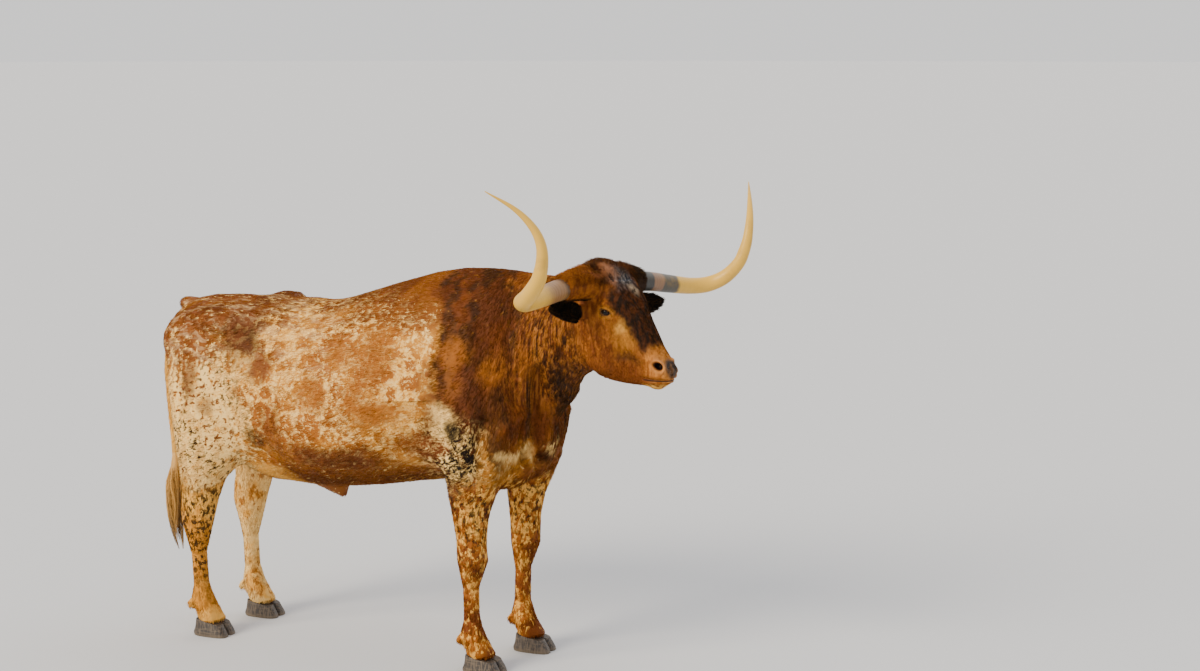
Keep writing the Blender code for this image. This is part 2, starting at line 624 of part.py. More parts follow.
def eye_frame(side):
    """The eye's frame: x looks out of the socket, y runs along the lids, z up."""
    centre = face(EYE_PLACE[0], EYE_PLACE[1], side * EYE_PLACE[2])
    gaze = Vector((0.36, side * 0.93, 0.06)).normalized()
    along = Vector((0.90, 0.0, -0.28))
    along = (along - gaze * along.dot(gaze)).normalized()
    high = gaze.cross(along)
    if high.z < 0:
        high = -high
    basis = Matrix((gaze, along, high)).transposed().to_4x4()
    return HEAD @ Matrix.Translation(centre) @ basis


def nostril(head, side):
    """Cuts one nostril: a pit with a tail that curls up and back."""
    pit = blob("pit", face(0.401, 0.048, side * 0.052), (0.018, 0.013, 0.012), (0, 50, side * 28), detail=2)
    tail = blob("curl", face(0.386, 0.056, side * 0.054), (0.013, 0.009, 0.006), (0, 20, side * 24), detail=2)
    place_all([pit, tail], HEAD)
    combined(head, pit, "DIFFERENCE")
    return combined(head, tail, "DIFFERENCE")


def mouth_line(head):
    """Cuts the narrow line between the lips, round the muzzle from corner to corner."""
    turn = np.linspace(-math.pi / 2, math.pi / 2, 15)
    inner, outer = [], []
    for angle in turn:
        ahead, across = math.cos(angle), math.sin(angle)
        lift = -0.3315 + 0.006 * (1 - ahead)
        inner.append((0.236 + 0.070 * ahead, 0.046 * across, lift))
        outer.append((0.230 + 0.120 * ahead, 0.100 * across, lift))
    half = 0.0013
    rings = []
    for near, far in zip(inner, outer):
        rings.append([(near[0], near[1], near[2] - half), (far[0], far[1], far[2] - half * 1.6),
                      (far[0], far[1], far[2] + half * 1.6), (near[0], near[1], near[2] + half)])
    cutter = place_all([shell("mouth", np.array(rings))], HEAD)[0]
    return combined(head, cutter, "DIFFERENCE")


def horn(side):
    """One horn: out, a little down and forward, then up in a half turn, the tip back and out."""
    # out from the middle of the head, forward, up, radius
    path = [(0.180, 0.000, 0.002, 0.0425), (0.280, 0.006, -0.008, 0.0405), (0.365, 0.017, -0.020, 0.0385),
            (0.478, 0.037, -0.033, 0.0352), (0.549, 0.074, -0.027, 0.0335), (0.581, 0.131, 0.005, 0.0308),
            (0.595, 0.183, 0.062, 0.0272), (0.605, 0.207, 0.130, 0.0232), (0.618, 0.209, 0.193, 0.0190),
            (0.646, 0.192, 0.251, 0.0148), (0.695, 0.154, 0.309, 0.0095), (0.775, 0.091, 0.367, 0.0022)]
    points = [(ahead, side * out, up) for out, ahead, up, radius in path]
    slim, root = (1.0, NEAR_HORN_ROOT) if side < 0 else (FAR_HORN_SLIM, FAR_HORN_ROOT)
    rings = tube_rings(points, [slim * radius for *place, radius in path], 12, 30, up=(0.35, 0.0, 0.94))
    name = "horn_left" if side > 0 else "horn_right"
    piece = behind_plane(shell(name, rings), (0.0, side * (root + GAP), 0.0), (0.0, -side, 0.0))
    place_all([piece], HEAD)
    return piece


def ear(side):
    """A cupped leaf that points outwards, its hollow facing forward and its upper edge laid back."""
    forward, rise = NEAR_EAR_SWING if side < 0 else FAR_EAR_SWING
    count, rows = 16, 12
    turn = np.arange(count) * 2 * math.pi / count
    rings = []
    for row in range(rows):
        part = row / (rows - 1)
        half = 0.022 + 0.024 * math.sin(math.pi * (0.86 * part) ** 0.80)
        half *= math.sqrt(max(1.0 - part ** 4.5, 0.010))
        thick = 0.0035 + 0.014 * (1 - part) ** 3
        cup = 0.62 * half * min(part * 3.5, 1.0)
        high = half * np.where(np.sin(turn) < 0, EAR_LOWER, 1.0) * np.sin(turn)
        deep = thick * np.cos(turn) + cup * (np.sin(turn) ** 2 - 0.35)
        ahead = EAR_BACK + forward * part ** 1.2 + deep - 0.60 * high * min(part * 3, 1.0)
        ring = np.column_stack([ahead, np.full(count, side * (EAR_ROOT + GAP + EAR_LENGTH * part)),
                                EAR_LEVEL + rise * part + high])
        rings.append(ring)
    name = "ear_left" if side > 0 else "ear_right"
    piece = shell(name, np.array(rings))
    place_all([piece], HEAD)
    return piece


def eyeball(side):
    """A plain ball with its poles along the gaze."""
    name = "eye_left" if side > 0 else "eye_right"
    shape = bmesh.new()
    place = eye_frame(side) @ Matrix.Rotation(math.radians(90), 4, "Y")
    bmesh.ops.create_uvsphere(shape, u_segments=16, v_segments=10, radius=EYE_RADIUS, matrix=place)
    bmesh.ops.recalc_face_normals(shape, faces=shape.faces)
    mesh = bpy.data.meshes.new(name)
    shape.to_mesh(mesh)
    shape.free()
    piece = bpy.data.objects.new(name, mesh)
    bpy.context.scene.collection.objects.link(piece)
    return piece


def claw(name, heel, toe, middle, across):
    """One half of a cloven hoof: a flat sole, a sloping wall and a top cut at the coronet."""
    # height, heel shift, toe shift, half width, from the sole up
    layers = [(0.000, 0.004, 0.000, 0.0270), (0.010, 0.000, -0.003, 0.0275), (0.035, 0.006, -0.017, 0.0262),
              (0.085, 0.012, -0.048, 0.0235)]
    rings = []
    for height, heel_in, toe_in, half in layers:
        back, front = heel + heel_in, toe + toe_in
        centre = middle + across * (half + 0.0022)
        ring = [(1.00, 0.30), (0.80, 0.78), (0.30, 1.00), (-0.45, 1.00), (-0.90, 0.72), (-1.00, 0.20),
                (-1.00, -0.35), (-0.85, -0.82), (-0.30, -0.98), (0.35, -0.98), (0.82, -0.90), (1.00, -0.55)]
        rings.append([((back + front) / 2 + (front - back) / 2 * ahead, centre + across * half * out, height)
                      for ahead, out in ring])
    piece = shell(name, np.array(rings))
    return behind_plane(piece, (heel + 0.060, middle, CORONET - GAP / 2), (-CORONET_SLOPE, 0.0, 1.0))


def hooves():
    """Two claws under each leg."""
    made = []
    for place, heel, toe, middle in (("hind", -0.805, -0.655, 0.167), ("front", 0.450, 0.605, 0.172)):
        for side, side_name in ((-1, "right"), (1, "left")):
            step = 0.0 if side < 0 else (FAR_HIND_STEP if place == "hind" else FAR_FORE_STEP)
            for across, claw_name in ((side, "outer"), (-side, "inner")):
                made.append(claw(f"hoof_{place}_{side_name}_{claw_name}", heel + step, toe + step,
                                 side * middle, across))
    return made


def tail_path():
    """The middle of the tail and its radius, from the root down."""
    return [(*(TAIL_ROOT - TAIL_WAY * 0.03), 0.0360), (-0.966, 0.0, 1.283, 0.0330),
            (-1.003, -0.002, 1.225, 0.0300), (-1.022, -0.005, 1.130, 0.0270),
            (-1.024, -0.008, 1.030, 0.0255), (-1.016, -0.012, 0.930, 0.0240),
            (-1.005, -0.016, 0.830, 0.0225), (-1.000, -0.018, 0.750, 0.0215), (-1.000, -0.020, 0.690, 0.0205)]


def tail():
    """The tail from its root to where the long hair starts."""
    path = tail_path()
    rings = tube_rings([point[:3] for point in path], [point[3] for point in path], 12, 20,
                       up=(0.0, 1.0, 0.0))
    piece = behind_plane(shell("tail", rings), TAIL_ROOT, -TAIL_WAY)
    return behind_plane(piece, (0, 0, SWITCH_TOP + GAP / 2), (0, 0, -1))


def switch_at(depths):
    """Middle and outer radius of the switch at depths below its top."""
    read = through(SWITCH_KEYS, depths)
    return np.column_stack([read[:, 0], read[:, 1], SWITCH_TOP - depths]), read[:, 2]


def lock(name, start, length, angle, sway, phase, reach, width):
    """One flat tapered lock of hair, from its root inside the core out and down to its tip."""
    along = np.linspace(0.0, 1.0, len(LOCK_TAPER))
    depths = np.minimum(start + length * along, SWITCH_KEYS[-1][0])
    middle, radius = switch_at(depths)
    rise = np.clip(along / 0.38, 0.0, 1.0)
    out = radius * (LOCK_ROOT + (reach - LOCK_ROOT) * rise * (2 - rise))
    turn = angle + sway * along * np.sin(phase + 4.4 * along)
    outward = np.column_stack([np.cos(turn), np.sin(turn), np.zeros(len(along))])
    path = middle + out[:, None] * outward
    ahead = np.gradient(path, axis=0)
    ahead /= np.linalg.norm(ahead, axis=1)[:, None]
    wide = np.cross(ahead, outward)
    wide /= np.linalg.norm(wide, axis=1)[:, None]
    high = np.cross(wide, ahead)
    taper = np.array(LOCK_TAPER)[:, None, None]
    round_it = np.arange(4) * math.pi / 2
    rings = (path[:, None] + taper * width * np.cos(round_it)[None, :, None] * wide[:, None]
             + taper * LOCK_THICKNESS * np.sin(round_it)[None, :, None] * high[:, None])
    return shell(name, rings)


def tail_switch():
    """The long hair at the end of the tail: a short core and a ring of bending locks, in one body."""
    depths = np.linspace(0.0, CORE_DEPTH, 6)
    middle, radius = switch_at(depths)
    share = np.array([1.0, 0.74, CORE_SHARE, CORE_SHARE, 0.50, 0.26])
    turn = np.arange(12) * 2 * math.pi / 12
    circle = np.column_stack([np.cos(turn), np.sin(turn), np.zeros(12)])
    rings = middle[:, None] + (radius * share)[:, None, None] * circle[None]
    rings[0, :, 2] = SWITCH_TOP - GAP / 2
    core = shell("tail_switch", rings)
    chance = np.random.default_rng(11)
    group = bpy.data.collections.new("locks")
    for number in range(LOCK_COUNT):
        part = number / (LOCK_COUNT - 1)
        start = LOCK_FIRST + (LOCK_LAST - LOCK_FIRST) * part
        length = LOCK_LENGTH * chance.uniform(0.90, 1.10) + 0.020 * part
        angle = number * 2.39996 + chance.uniform(-0.2, 0.2)
        sway = chance.uniform(0.25, 0.60) * chance.choice([-1, 1])
        phase, reach = chance.uniform(0.0, 6.3), chance.uniform(0.72, 0.92)
        width = LOCK_WIDTH * chance.uniform(0.8, 1.2)
        piece = lock(f"lock {number}", start, length, angle, sway, phase, reach, width)
        group.objects.link(piece)
    union = core.modifiers.new("union", "BOOLEAN")
    union.operation = "UNION"
    union.operand_type = "COLLECTION"
    union.collection = group
    union.solver = "EXACT"
    bake(core)
    for piece in list(group.objects):
        drop(piece)
    bpy.data.collections.remove(group)
    largest(core.data)
    return core


def leg_region(name, corners, side, step, grow):
    """The wedge that holds one leg, from corner points on the right side of the animal."""
    return hull(name, [(x + (step if z < 0.9 else 0.0), side * y, z) for x, y, z in corners], grow)


HIND_REGION = [(-1.20, 0.004, -0.05), (-0.44, 0.004, -0.05), (-1.20, 0.60, -0.05), (-0.44, 0.60, -0.05),
               (-0.44, 0.004, 0.640), (-1.20, 0.004, 1.060), (-0.44, 0.60, 0.860), (-1.20, 0.60, 1.400)]
FORE_REGION = [(0.20, 0.070, -0.05), (0.80, 0.070, -0.05), (0.20, 0.60, -0.05), (0.80, 0.60, -0.05),
               (0.30, 0.070, 0.690), (0.760, 0.070, 0.690), (0.26, 0.60, 1.090), (0.80, 0.60, 1.090)]
NECK_CUT = ((0.640, 0.0, 1.100), (0.92, 0.0, 0.39))


def flesh():
    """The fused hide, parted into torso, neck, head and legs."""
    body_clay = torso_pieces() + neck_pieces() + head_pieces()
    for side in (-1, 1):
        body_clay += hind_leg(side, 0.0 if side < 0 else FAR_HIND_STEP)
        body_clay += fore_leg(side, 0.0 if side < 0 else FAR_FORE_STEP)
    body = fused("torso", body_clay, BODY_VOXEL, BODY_ROUNDS, body_softness, BODY_TRIANGLES)
    head_clay = neck_pieces() + head_pieces()
    head = fused("head", head_clay, HEAD_VOXEL, HEAD_ROUNDS, head_softness, HEAD_TRIANGLES)

    throat_cut = HEAD @ Vector((-0.072, 0.0, -0.050))
    throat_way = HEAD.to_3x3() @ Vector((0.985, 0.0, -0.12))
    behind_plane(head, throat_cut + throat_way * GAP / 2, -throat_way)
    behind_plane(body, throat_cut - throat_way * GAP / 2, throat_way)
    for side in (-1, 1):
        way = HEAD.to_3x3() @ Vector((0.0, side, 0.0))
        horn_root = NEAR_HORN_ROOT if side < 0 else FAR_HORN_ROOT
        seat(head, HEAD @ Vector((0.003, side * horn_root, 0.0)), way, 0.062, 0.060)
        seat(head, HEAD @ Vector((EAR_BACK, side * EAR_ROOT, EAR_LEVEL)), way, 0.034, 0.060)
        nostril(head, side)
        socket_and_opening(head, side)
    mouth_line(head)

    seat(body, TAIL_ROOT - TAIL_WAY * GAP, TAIL_WAY, 0.050, 0.080)
    cleft = tail_path()[1:-2]
    combined(body, tube("cleft", [point[:3] for point in cleft], [point[3] + CLEFT_ROOM for point in cleft],
                        up=(0.0, 1.0, 0.0)), "DIFFERENCE")
    neck = parted(body, "neck", *NECK_CUT)
    legs = []
    for side, side_name in ((-1, "right"), (1, "left")):
        for place, region, far_step in (("hind", HIND_REGION, FAR_HIND_STEP),
                                        ("front", FORE_REGION, FAR_FORE_STEP)):
            step = 0.0 if side < 0 else far_step
            leg = copy_of(body, f"leg_{place}_{side_name}")
            combined(leg, leg_region("wedge", region, side, step, 0.0), "INTERSECT")
            combined(body, leg_region("wedge", region, side, step, 2 * GAP), "DIFFERENCE")
            heel = (-0.805 if place == "hind" else 0.450) + step
            behind_plane(leg, (heel + 0.060, 0.0, CORONET + GAP / 2), (CORONET_SLOPE, 0.0, -1.0))
            legs.append(leg)
    return [body, neck, head, *legs]


def finish(piece, surface, smooth_angle):
    """Gives a piece its material and its shading."""
    piece.data.materials.clear()
    piece.data.materials.append(surface)
    piece.data.shade_smooth()
    piece.data.set_sharp_from_angle(angle=math.radians(smooth_angle))


def build():
    """Makes every part and sets the middle of its box over the origin."""
    hide_parts = flesh()
    tail_parts = [tail(), tail_switch()]
    ears = [ear(-1), ear(1)]
    horns = [horn(-1), horn(1)]
    eyes = [eyeball(-1), eyeball(1)]
    feet = hooves()
    for parts, surface, angle in ((hide_parts, HIDE, 40), (tail_parts, CREAM, 50), (ears, DARK, 50),
                                  (horns, HORN, 50), (eyes, EYE, 60), (feet, HOOF, 40)):
        for piece in parts:
            finish(piece, surface, angle)
    everything = [*hide_parts, *tail_parts, *ears, *horns, *eyes, *feet]
    corners = np.array([vertex.co for piece in everything for vertex in piece.data.vertices])
    low, high = corners.min(axis=0), corners.max(axis=0)
    middle = Matrix.Translation((-(low[0] + high[0]) / 2, -(low[1] + high[1]) / 2, 0.0))
    place_all(everything, middle)


build()
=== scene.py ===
# %% [markdown]
# # A longhorn steer, standing still
# The solids of the steer are loaded first, as the frame that every finer piece is fitted to.

# %% The solids and their box
import math
import bmesh
import bpy
import numpy as np
from mathutils import Matrix, Vector
from types import SimpleNamespace


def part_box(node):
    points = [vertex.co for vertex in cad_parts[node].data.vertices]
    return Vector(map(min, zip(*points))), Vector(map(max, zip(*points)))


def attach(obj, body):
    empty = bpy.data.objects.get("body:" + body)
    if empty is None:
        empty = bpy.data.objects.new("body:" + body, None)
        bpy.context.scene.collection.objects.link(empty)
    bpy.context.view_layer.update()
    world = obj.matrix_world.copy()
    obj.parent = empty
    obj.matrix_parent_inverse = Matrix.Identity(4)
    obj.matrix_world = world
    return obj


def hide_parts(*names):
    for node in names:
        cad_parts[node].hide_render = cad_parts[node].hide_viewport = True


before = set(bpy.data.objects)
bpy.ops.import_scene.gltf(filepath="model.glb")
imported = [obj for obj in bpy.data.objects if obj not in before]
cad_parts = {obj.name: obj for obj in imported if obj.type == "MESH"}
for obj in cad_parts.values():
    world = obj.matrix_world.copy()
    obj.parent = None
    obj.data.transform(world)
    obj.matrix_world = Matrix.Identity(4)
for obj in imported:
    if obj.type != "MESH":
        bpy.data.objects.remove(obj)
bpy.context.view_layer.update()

# %% [markdown]
# ## Where the head is, and how far the drawing was moved
# The steer was drawn with the withers near the middle and was moved afterwards so that its box is centred.
# The near eye is a ball, so its middle is exact in both, and the difference of the two is that move.
# All sizes below are in the drawing's own coordinates, and one matrix carries the head's parts to their
# place.

# %% The head's own axes
FACE_SLOPE = math.radians(50.0)
EYE_PLACE = (0.124, 0.002, 0.0905)
EYE_RADIUS = 0.0205
DRAWN_HEAD = (Matrix.Translation((1.017, -0.120, 1.541)) @ Matrix.Rotation(math.radians(-15.2), 4, "Z")
              @ Matrix.Rotation(math.radians(-2.0), 4, "X"))


def face(along, out, side=0.0):
    """A point in the head's axes from its place along the slope of the face and out from it."""
    return Vector((along * math.cos(FACE_SLOPE) + out * math.sin(FACE_SLOPE), side,
                   -along * math.sin(FACE_SLOPE) + out * math.cos(FACE_SLOPE)))


EYE_LOW, EYE_HIGH = (Vector(corner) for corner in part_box("eye_right"))
SHIFT = (EYE_LOW + EYE_HIGH) / 2 - DRAWN_HEAD @ face(EYE_PLACE[0], EYE_PLACE[1], -EYE_PLACE[2])
HEAD = Matrix.Translation(SHIFT) @ DRAWN_HEAD
print("moved by", [round(value, 4) for value in SHIFT])


def carried(matrix, points):
    """The points carried by a matrix of four rows."""
    table = np.array(matrix)
    return points @ table[:3, :3].T + table[:3, 3]


def in_head(points):
    """The points in the head's axes."""
    return carried(HEAD.inverted(), points)


def eye_frame(side):
    """The eye's axes: x looks out of the socket, y runs along the lids, z up."""
    centre = face(EYE_PLACE[0], EYE_PLACE[1], side * EYE_PLACE[2])
    gaze = Vector((0.36, side * 0.93, 0.06)).normalized()
    along = Vector((0.90, 0.0, -0.28))
    along = (along - gaze * along.dot(gaze)).normalized()
    high = gaze.cross(along)
    if high.z < 0:
        high = -high
    return HEAD @ Matrix.Translation(centre) @ Matrix((gaze, along, high)).transposed().to_4x4()


SIDES = ((-1, "right"), (1, "left"))
EYES = {side: np.array(eye_frame(side)) for side, name in SIDES}


def in_eye(points, side):
    """The points in the axes of the eye of that side."""
    return (points - EYES[side][:3, 3]) @ EYES[side][:3, :3]

# %% [markdown]
# ## The camera
# A photograph taken from a little above the back, turned toward the head. The lens is 63 mm on a 36 mm
# sensor.
# The camera's axes are worked out from the two angles, so that the numbers mean something to a reader.

# %% The camera at the photograph's place
CAMERA_AT = Vector((4.156, -7.220, 2.479)) + SHIFT
TURN, DOWN = math.radians(24.0), math.radians(8.3)
LENS, SENSOR = 63.0, 36.0
FRAME_WIDE, FRAME_HIGH = 1200, 671
FOCAL = FRAME_WIDE * LENS / SENSOR
AHEAD = Vector((-math.sin(TURN) * math.cos(DOWN), math.cos(TURN) * math.cos(DOWN), -math.sin(DOWN)))
RIGHT = Vector((math.cos(TURN), math.sin(TURN), 0.0))
UP = RIGHT.cross(AHEAD)
camera = bpy.data.objects.new("camera", bpy.data.cameras.new("camera"))
bpy.context.scene.collection.objects.link(camera)
camera.data.lens = LENS
camera.data.sensor_width = SENSOR
camera.matrix_world = Matrix.Translation(CAMERA_AT) @ Matrix((RIGHT, UP, -AHEAD)).transposed().to_4x4()
bpy.context.scene.camera = camera
print("camera at", [round(value, 3) for value in CAMERA_AT])

# %% [markdown]
# ## Small tools for meshes
# A mesh is read into numpy arrays, changed as a whole, and written back. Smooth curves run through a few
# named points, and a skin is laid over rings of points that follow such a curve.

# %% Reading and writing whole meshes
def rows_of(items, name, width, kind=np.float32):
    """One value of each item of a mesh, as rows of WIDTH numbers."""
    flat = np.empty(len(items) * width, dtype=kind)
    items.foreach_get(name, flat)
    return flat.reshape(-1, width)


def points_of(mesh):
    """The points of a mesh."""
    return rows_of(mesh.vertices, "co", 3).astype(float)


def normals_of(mesh):
    """The outward direction at each point of a mesh."""
    return rows_of(mesh.vertex_normals, "vector", 3).astype(float)


def edges_of(mesh):
    """The two ends of each edge."""
    return rows_of(mesh.edges, "vertices", 2, np.int32)


def put_points(mesh, points):
    """Writes the points back into a mesh."""
    mesh.vertices.foreach_set("co", np.asarray(points, dtype=np.float32).ravel())
    mesh.update()


# %% Pieces and their meshes
def linked(name, mesh, smooth=True):
    """A new object for a mesh."""
    piece = bpy.data.objects.new(name, mesh)
    bpy.context.scene.collection.objects.link(piece)
    mesh.polygons.foreach_set("use_smooth", [smooth] * len(mesh.polygons))
    return piece


def applied(piece):
    """The piece with its modifiers made part of its mesh."""
    graph = bpy.context.evaluated_depsgraph_get()
    mesh = bpy.data.meshes.new_from_object(piece.evaluated_get(graph))
    old = piece.data
    piece.modifiers.clear()
    piece.data = mesh
    bpy.data.meshes.remove(old)
    return piece


def finished(piece, paint, slot, *replaced):
    """Gives a piece its material and its body, and names the solids that it stands for; the slot is not used.
    """
    piece.data.materials.append(paint.material)
    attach(piece, "root")
    if replaced:
        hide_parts(*replaced)
    print(piece.name, len(piece.data.polygons), "faces")


def array_mesh(name, points, faces):
    """A mesh from an array of points and a list of face arrays, each with its own number of corners."""
    mesh = bpy.data.meshes.new(name)
    mesh.vertices.add(len(points))
    mesh.vertices.foreach_set("co", np.asarray(points, dtype=np.float32).ravel())
    corners = np.concatenate([block.ravel() for block in faces]).astype(np.int32)
    sizes = np.concatenate([np.full(len(block), block.shape[1]) for block in faces])
    mesh.loops.add(len(corners))
    mesh.loops.foreach_set("vertex_index", corners)
    mesh.polygons.add(len(sizes))
    mesh.polygons.foreach_set("loop_start", np.concatenate([[0], np.cumsum(sizes)[:-1]]).astype(np.int32))
    mesh.update(calc_edges=True)
    return mesh


def turned_out(mesh):
    """Turns the faces of a closed mesh outwards."""
    shape = bmesh.new()
    shape.from_mesh(mesh)
    bmesh.ops.recalc_face_normals(shape, faces=shape.faces)
    shape.to_mesh(mesh)
    shape.free()
    return mesh


def grid_mesh(name, rings):
    """A closed skin over rings of points: rows run along, columns round, and a point closes each end."""
    rows, columns = rings.shape[:2]
    number = np.arange(rows * columns).reshape(rows, columns)
    beside = np.roll(number, -1, axis=1)
    quads = np.stack([number[:-1], beside[:-1], beside[1:], number[1:]], axis=-1).reshape(-1, 4)
    caps = np.column_stack([np.repeat([rows * columns, rows * columns + 1], columns),
                            np.concatenate([beside[0], number[-1]]), np.concatenate([number[0], beside[-1]])])
    points = np.vstack([rings.reshape(-1, 3), rings[0].mean(axis=0), rings[-1].mean(axis=0)])
    return turned_out(array_mesh(name, points, [quads, caps]))


# %% Curves, steps and values kept on a mesh
def circle(count):
    """COUNT angles once round."""
    return np.arange(count) * 2 * math.pi / count


def through(keys, places):
    """Rows read at PLACES from a smooth curve through the key rows, whose first column is the place."""
    keys = np.asarray(keys, dtype=float)
    at, values = keys[:, 0], keys[:, 1:]
    slopes = np.gradient(values, at, axis=0)
    left = np.clip(np.searchsorted(at, places, side="right") - 1, 0, len(at) - 2)
    span = (at[left + 1] - at[left])[:, None]
    part = (places - at[left])[:, None] / span
    rest = 1 - part
    return ((1 + 2 * part) * rest ** 2 * values[left] + part * rest ** 2 * span * slopes[left]
            + part ** 2 * (3 - 2 * part) * values[left + 1] - part ** 2 * rest * span * slopes[left + 1])


def numbers(mesh, name, values, kind="FLOAT"):
    """Keeps a value, or a vector, for each point of a mesh as an attribute."""
    layer = mesh.attributes.new(name, kind, "POINT")
    flat = np.asarray(values, dtype=np.float32).ravel()
    layer.data.foreach_set("vector" if kind == "FLOAT_VECTOR" else "value", flat)


def eased(low, high, values):
    """0 below LOW, 1 above HIGH and a smooth rise between them."""
    part = np.clip((values - low) / (high - low), 0.0, 1.0)
    return part * part * (3 - 2 * part)

# %% [markdown]
# ## Writing a material as sums
# A material is a graph of nodes, which is hard to read in code. Here a small class stands for one socket,
# and adding or multiplying two of them adds the Math node, so a pattern reads like a line of arithmetic.

# %% The class for a socket
class Wire:
    """One socket of a material, for sums written in Python."""

    def __init__(self, paint, socket):
        self.paint, self.socket = paint, socket

    def sum_of(self, operation, *values):
        """One Math node on the values."""
        return self.paint.node("ShaderNodeMath", {"operation": operation}, dict(enumerate(values)))

    def __add__(self, other):
        return self.sum_of("ADD", self, other)

    def __sub__(self, other):
        return self.sum_of("SUBTRACT", self, other)

    def __rsub__(self, other):
        return self.sum_of("SUBTRACT", other, self)

    def __mul__(self, other):
        return self.sum_of("MULTIPLY", self, other)

    def either(self, other):
        """The larger of the two."""
        return self.sum_of("MAXIMUM", self, other)

    def size(self):
        """The number without its sign."""
        return self.sum_of("ABSOLUTE", self)

    def ramp(self, low, high, first, last):
        """FIRST below LOW, LAST above HIGH, smooth between."""
        return self.paint.node("ShaderNodeMapRange", {"interpolation_type": "SMOOTHSTEP"},
                               {0: self, 1: low, 2: high, 3: first, 4: last})

    def rise(self, low, high):
        """0 below LOW and 1 above HIGH."""
        return self.ramp(low, high, 0.0, 1.0)

    def fall(self, low, high):
        """1 below LOW and 0 above HIGH."""
        return self.ramp(low, high, 1.0, 0.0)

    def shade(self, low, high, first, last):
        """The colour FIRST below LOW and the colour LAST above HIGH."""
        return self.paint.over(self.rise(low, high), first, last)

    __radd__ = __add__
    __rmul__ = __mul__


# %% The class for a material
class Paint:
    """A material on the Principled shader."""

    def __init__(self, name, roughness=0.6):
        self.material = bpy.data.materials.new(name)
        self.material.use_nodes = True
        self.tree = self.material.node_tree
        self.shader = self.tree.nodes["Principled BSDF"]
        self.shader.inputs["Roughness"].default_value = roughness

    def node(self, kind, settings, inputs, output=0):
        """Adds a node: its settings first, then the values or links of its sockets."""
        new = self.tree.nodes.new(kind)
        for name, value in settings.items():
            setattr(new, name, value)
        for place, value in inputs.items():
            if isinstance(value, Wire):
                self.tree.links.new(value.socket, new.inputs[place])
            else:
                new.inputs[place].default_value = value
        return Wire(self, new.outputs[output])

    def attribute(self, name, output="Fac"):
        """A value that is kept on the mesh."""
        return self.node("ShaderNodeAttribute", {"attribute_name": name}, {}, output)

    def vector(self, operation, first, second, output=0):
        """One Vector Math node."""
        return self.node("ShaderNodeVectorMath", {"operation": operation}, {0: first, 1: second}, output)

    def dot(self, vector, direction):
        """How far the vector reaches along the direction."""
        return self.vector("DOT_PRODUCT", vector, tuple(direction), 1)

    def length(self, vector):
        """The root of the sum of the three squares."""
        return self.vector("LENGTH", vector, (0.0, 0.0, 0.0), 1)

    def parts(self, vector):
        """The three numbers of a vector."""
        first = self.node("ShaderNodeSeparateXYZ", {}, {0: vector})
        return [Wire(self, socket) for socket in first.socket.node.outputs]

    def joined(self, *numbers):
        """A vector from up to three numbers."""
        return self.node("ShaderNodeCombineXYZ", {}, dict(enumerate(numbers)))

    def noise(self, place, scale, detail=3.0, rough=0.5, stretch=None, output=0):
        """Noise on a place that is first multiplied by STRETCH: small numbers draw the noise out."""
        if stretch:
            place = self.vector("MULTIPLY", place, stretch)
        return self.node("ShaderNodeTexNoise", {}, {"Vector": place, "Scale": scale, "Detail": detail,
                                                    "Roughness": rough}, output)

    def warped(self, place, reach, *noise):
        """The place moved by coloured noise, by up to half of REACH either way."""
        wander = self.vector("SUBTRACT", self.noise(place, *noise, output=1), (0.5, 0.5, 0.5))
        return self.vector("ADD", place, self.vector("MULTIPLY", wander, reach))

    def borders(self, place, scale):
        """The distance to the border of the nearest of many cells."""
        return self.node("ShaderNodeTexVoronoi", {"feature": "DISTANCE_TO_EDGE"},
                         {"Vector": place, "Scale": scale})

    def over(self, mask, under, top):
        """The colour TOP laid over UNDER where the mask is 1."""
        return self.node("ShaderNodeMix", {"data_type": "RGBA"}, {0: mask, 6: under, 7: top}, 2)

    def layers(self, colour, *tops):
        """Pairs of a mask and a colour, each laid over the last."""
        for mask, top in tops:
            colour = self.over(mask, colour, top)
        return colour

    def wet(self, name, value):
        """Sets an input of the shader to a plain value."""
        self.shader.inputs[name].default_value = value

    def feed(self, name, value):
        """Links an input of the shader to a pattern."""
        self.tree.links.new(value.socket, self.shader.inputs[name])

    def bump(self, height, distance, strength=1.0):
        """The height pattern, in metres times DISTANCE, felt by the light only."""
        return self.node("ShaderNodeBump", {}, {"Height": height, "Distance": distance, "Strength": strength})


# %% A colour from three numbers
def rgb(red, green, blue):
    """A colour as it is picked on a screen, 0 to 255, made linear."""
    part = np.array([red, green, blue]) / 255
    return (*np.where(part < 0.04045, part / 12.92, ((part + 0.055) / 1.055) ** 2.4).tolist(), 1.0)

# %% [markdown]
# ## The hide's colours
# The steer is roan: orange and red-brown hair broken up by white hair, in patches with ragged edges. Noise
# whose fine octaves are strong gives such edges, and a bias per region of the body says how much white
# shows there. Spots that the photograph shows in one place are ellipses on a warped position, so that
# their edges are ragged too. Everything is read at the root of the hair, which is kept as an attribute.

# %% Colours by name
TAN = rgb(200, 134, 46)
ORANGE = rgb(158, 92, 28)
RUST = rgb(114, 58, 18)
RED_BROWN = rgb(88, 43, 15)
DEEP_BROWN = rgb(50, 28, 12)
NEAR_BLACK = rgb(26, 17, 11)
CREAM = rgb(234, 174, 80)
WHITE_HAIR = rgb(246, 204, 126)
SLATE = rgb(52, 56, 64)
PINK_SKIN = rgb(160, 106, 70)
MUZZLE_TAN = rgb(206, 134, 58)
IVORY = rgb(220, 172, 62)
HORN_TAN = rgb(166, 128, 58)
HORN_SLATE = rgb(48, 48, 46)


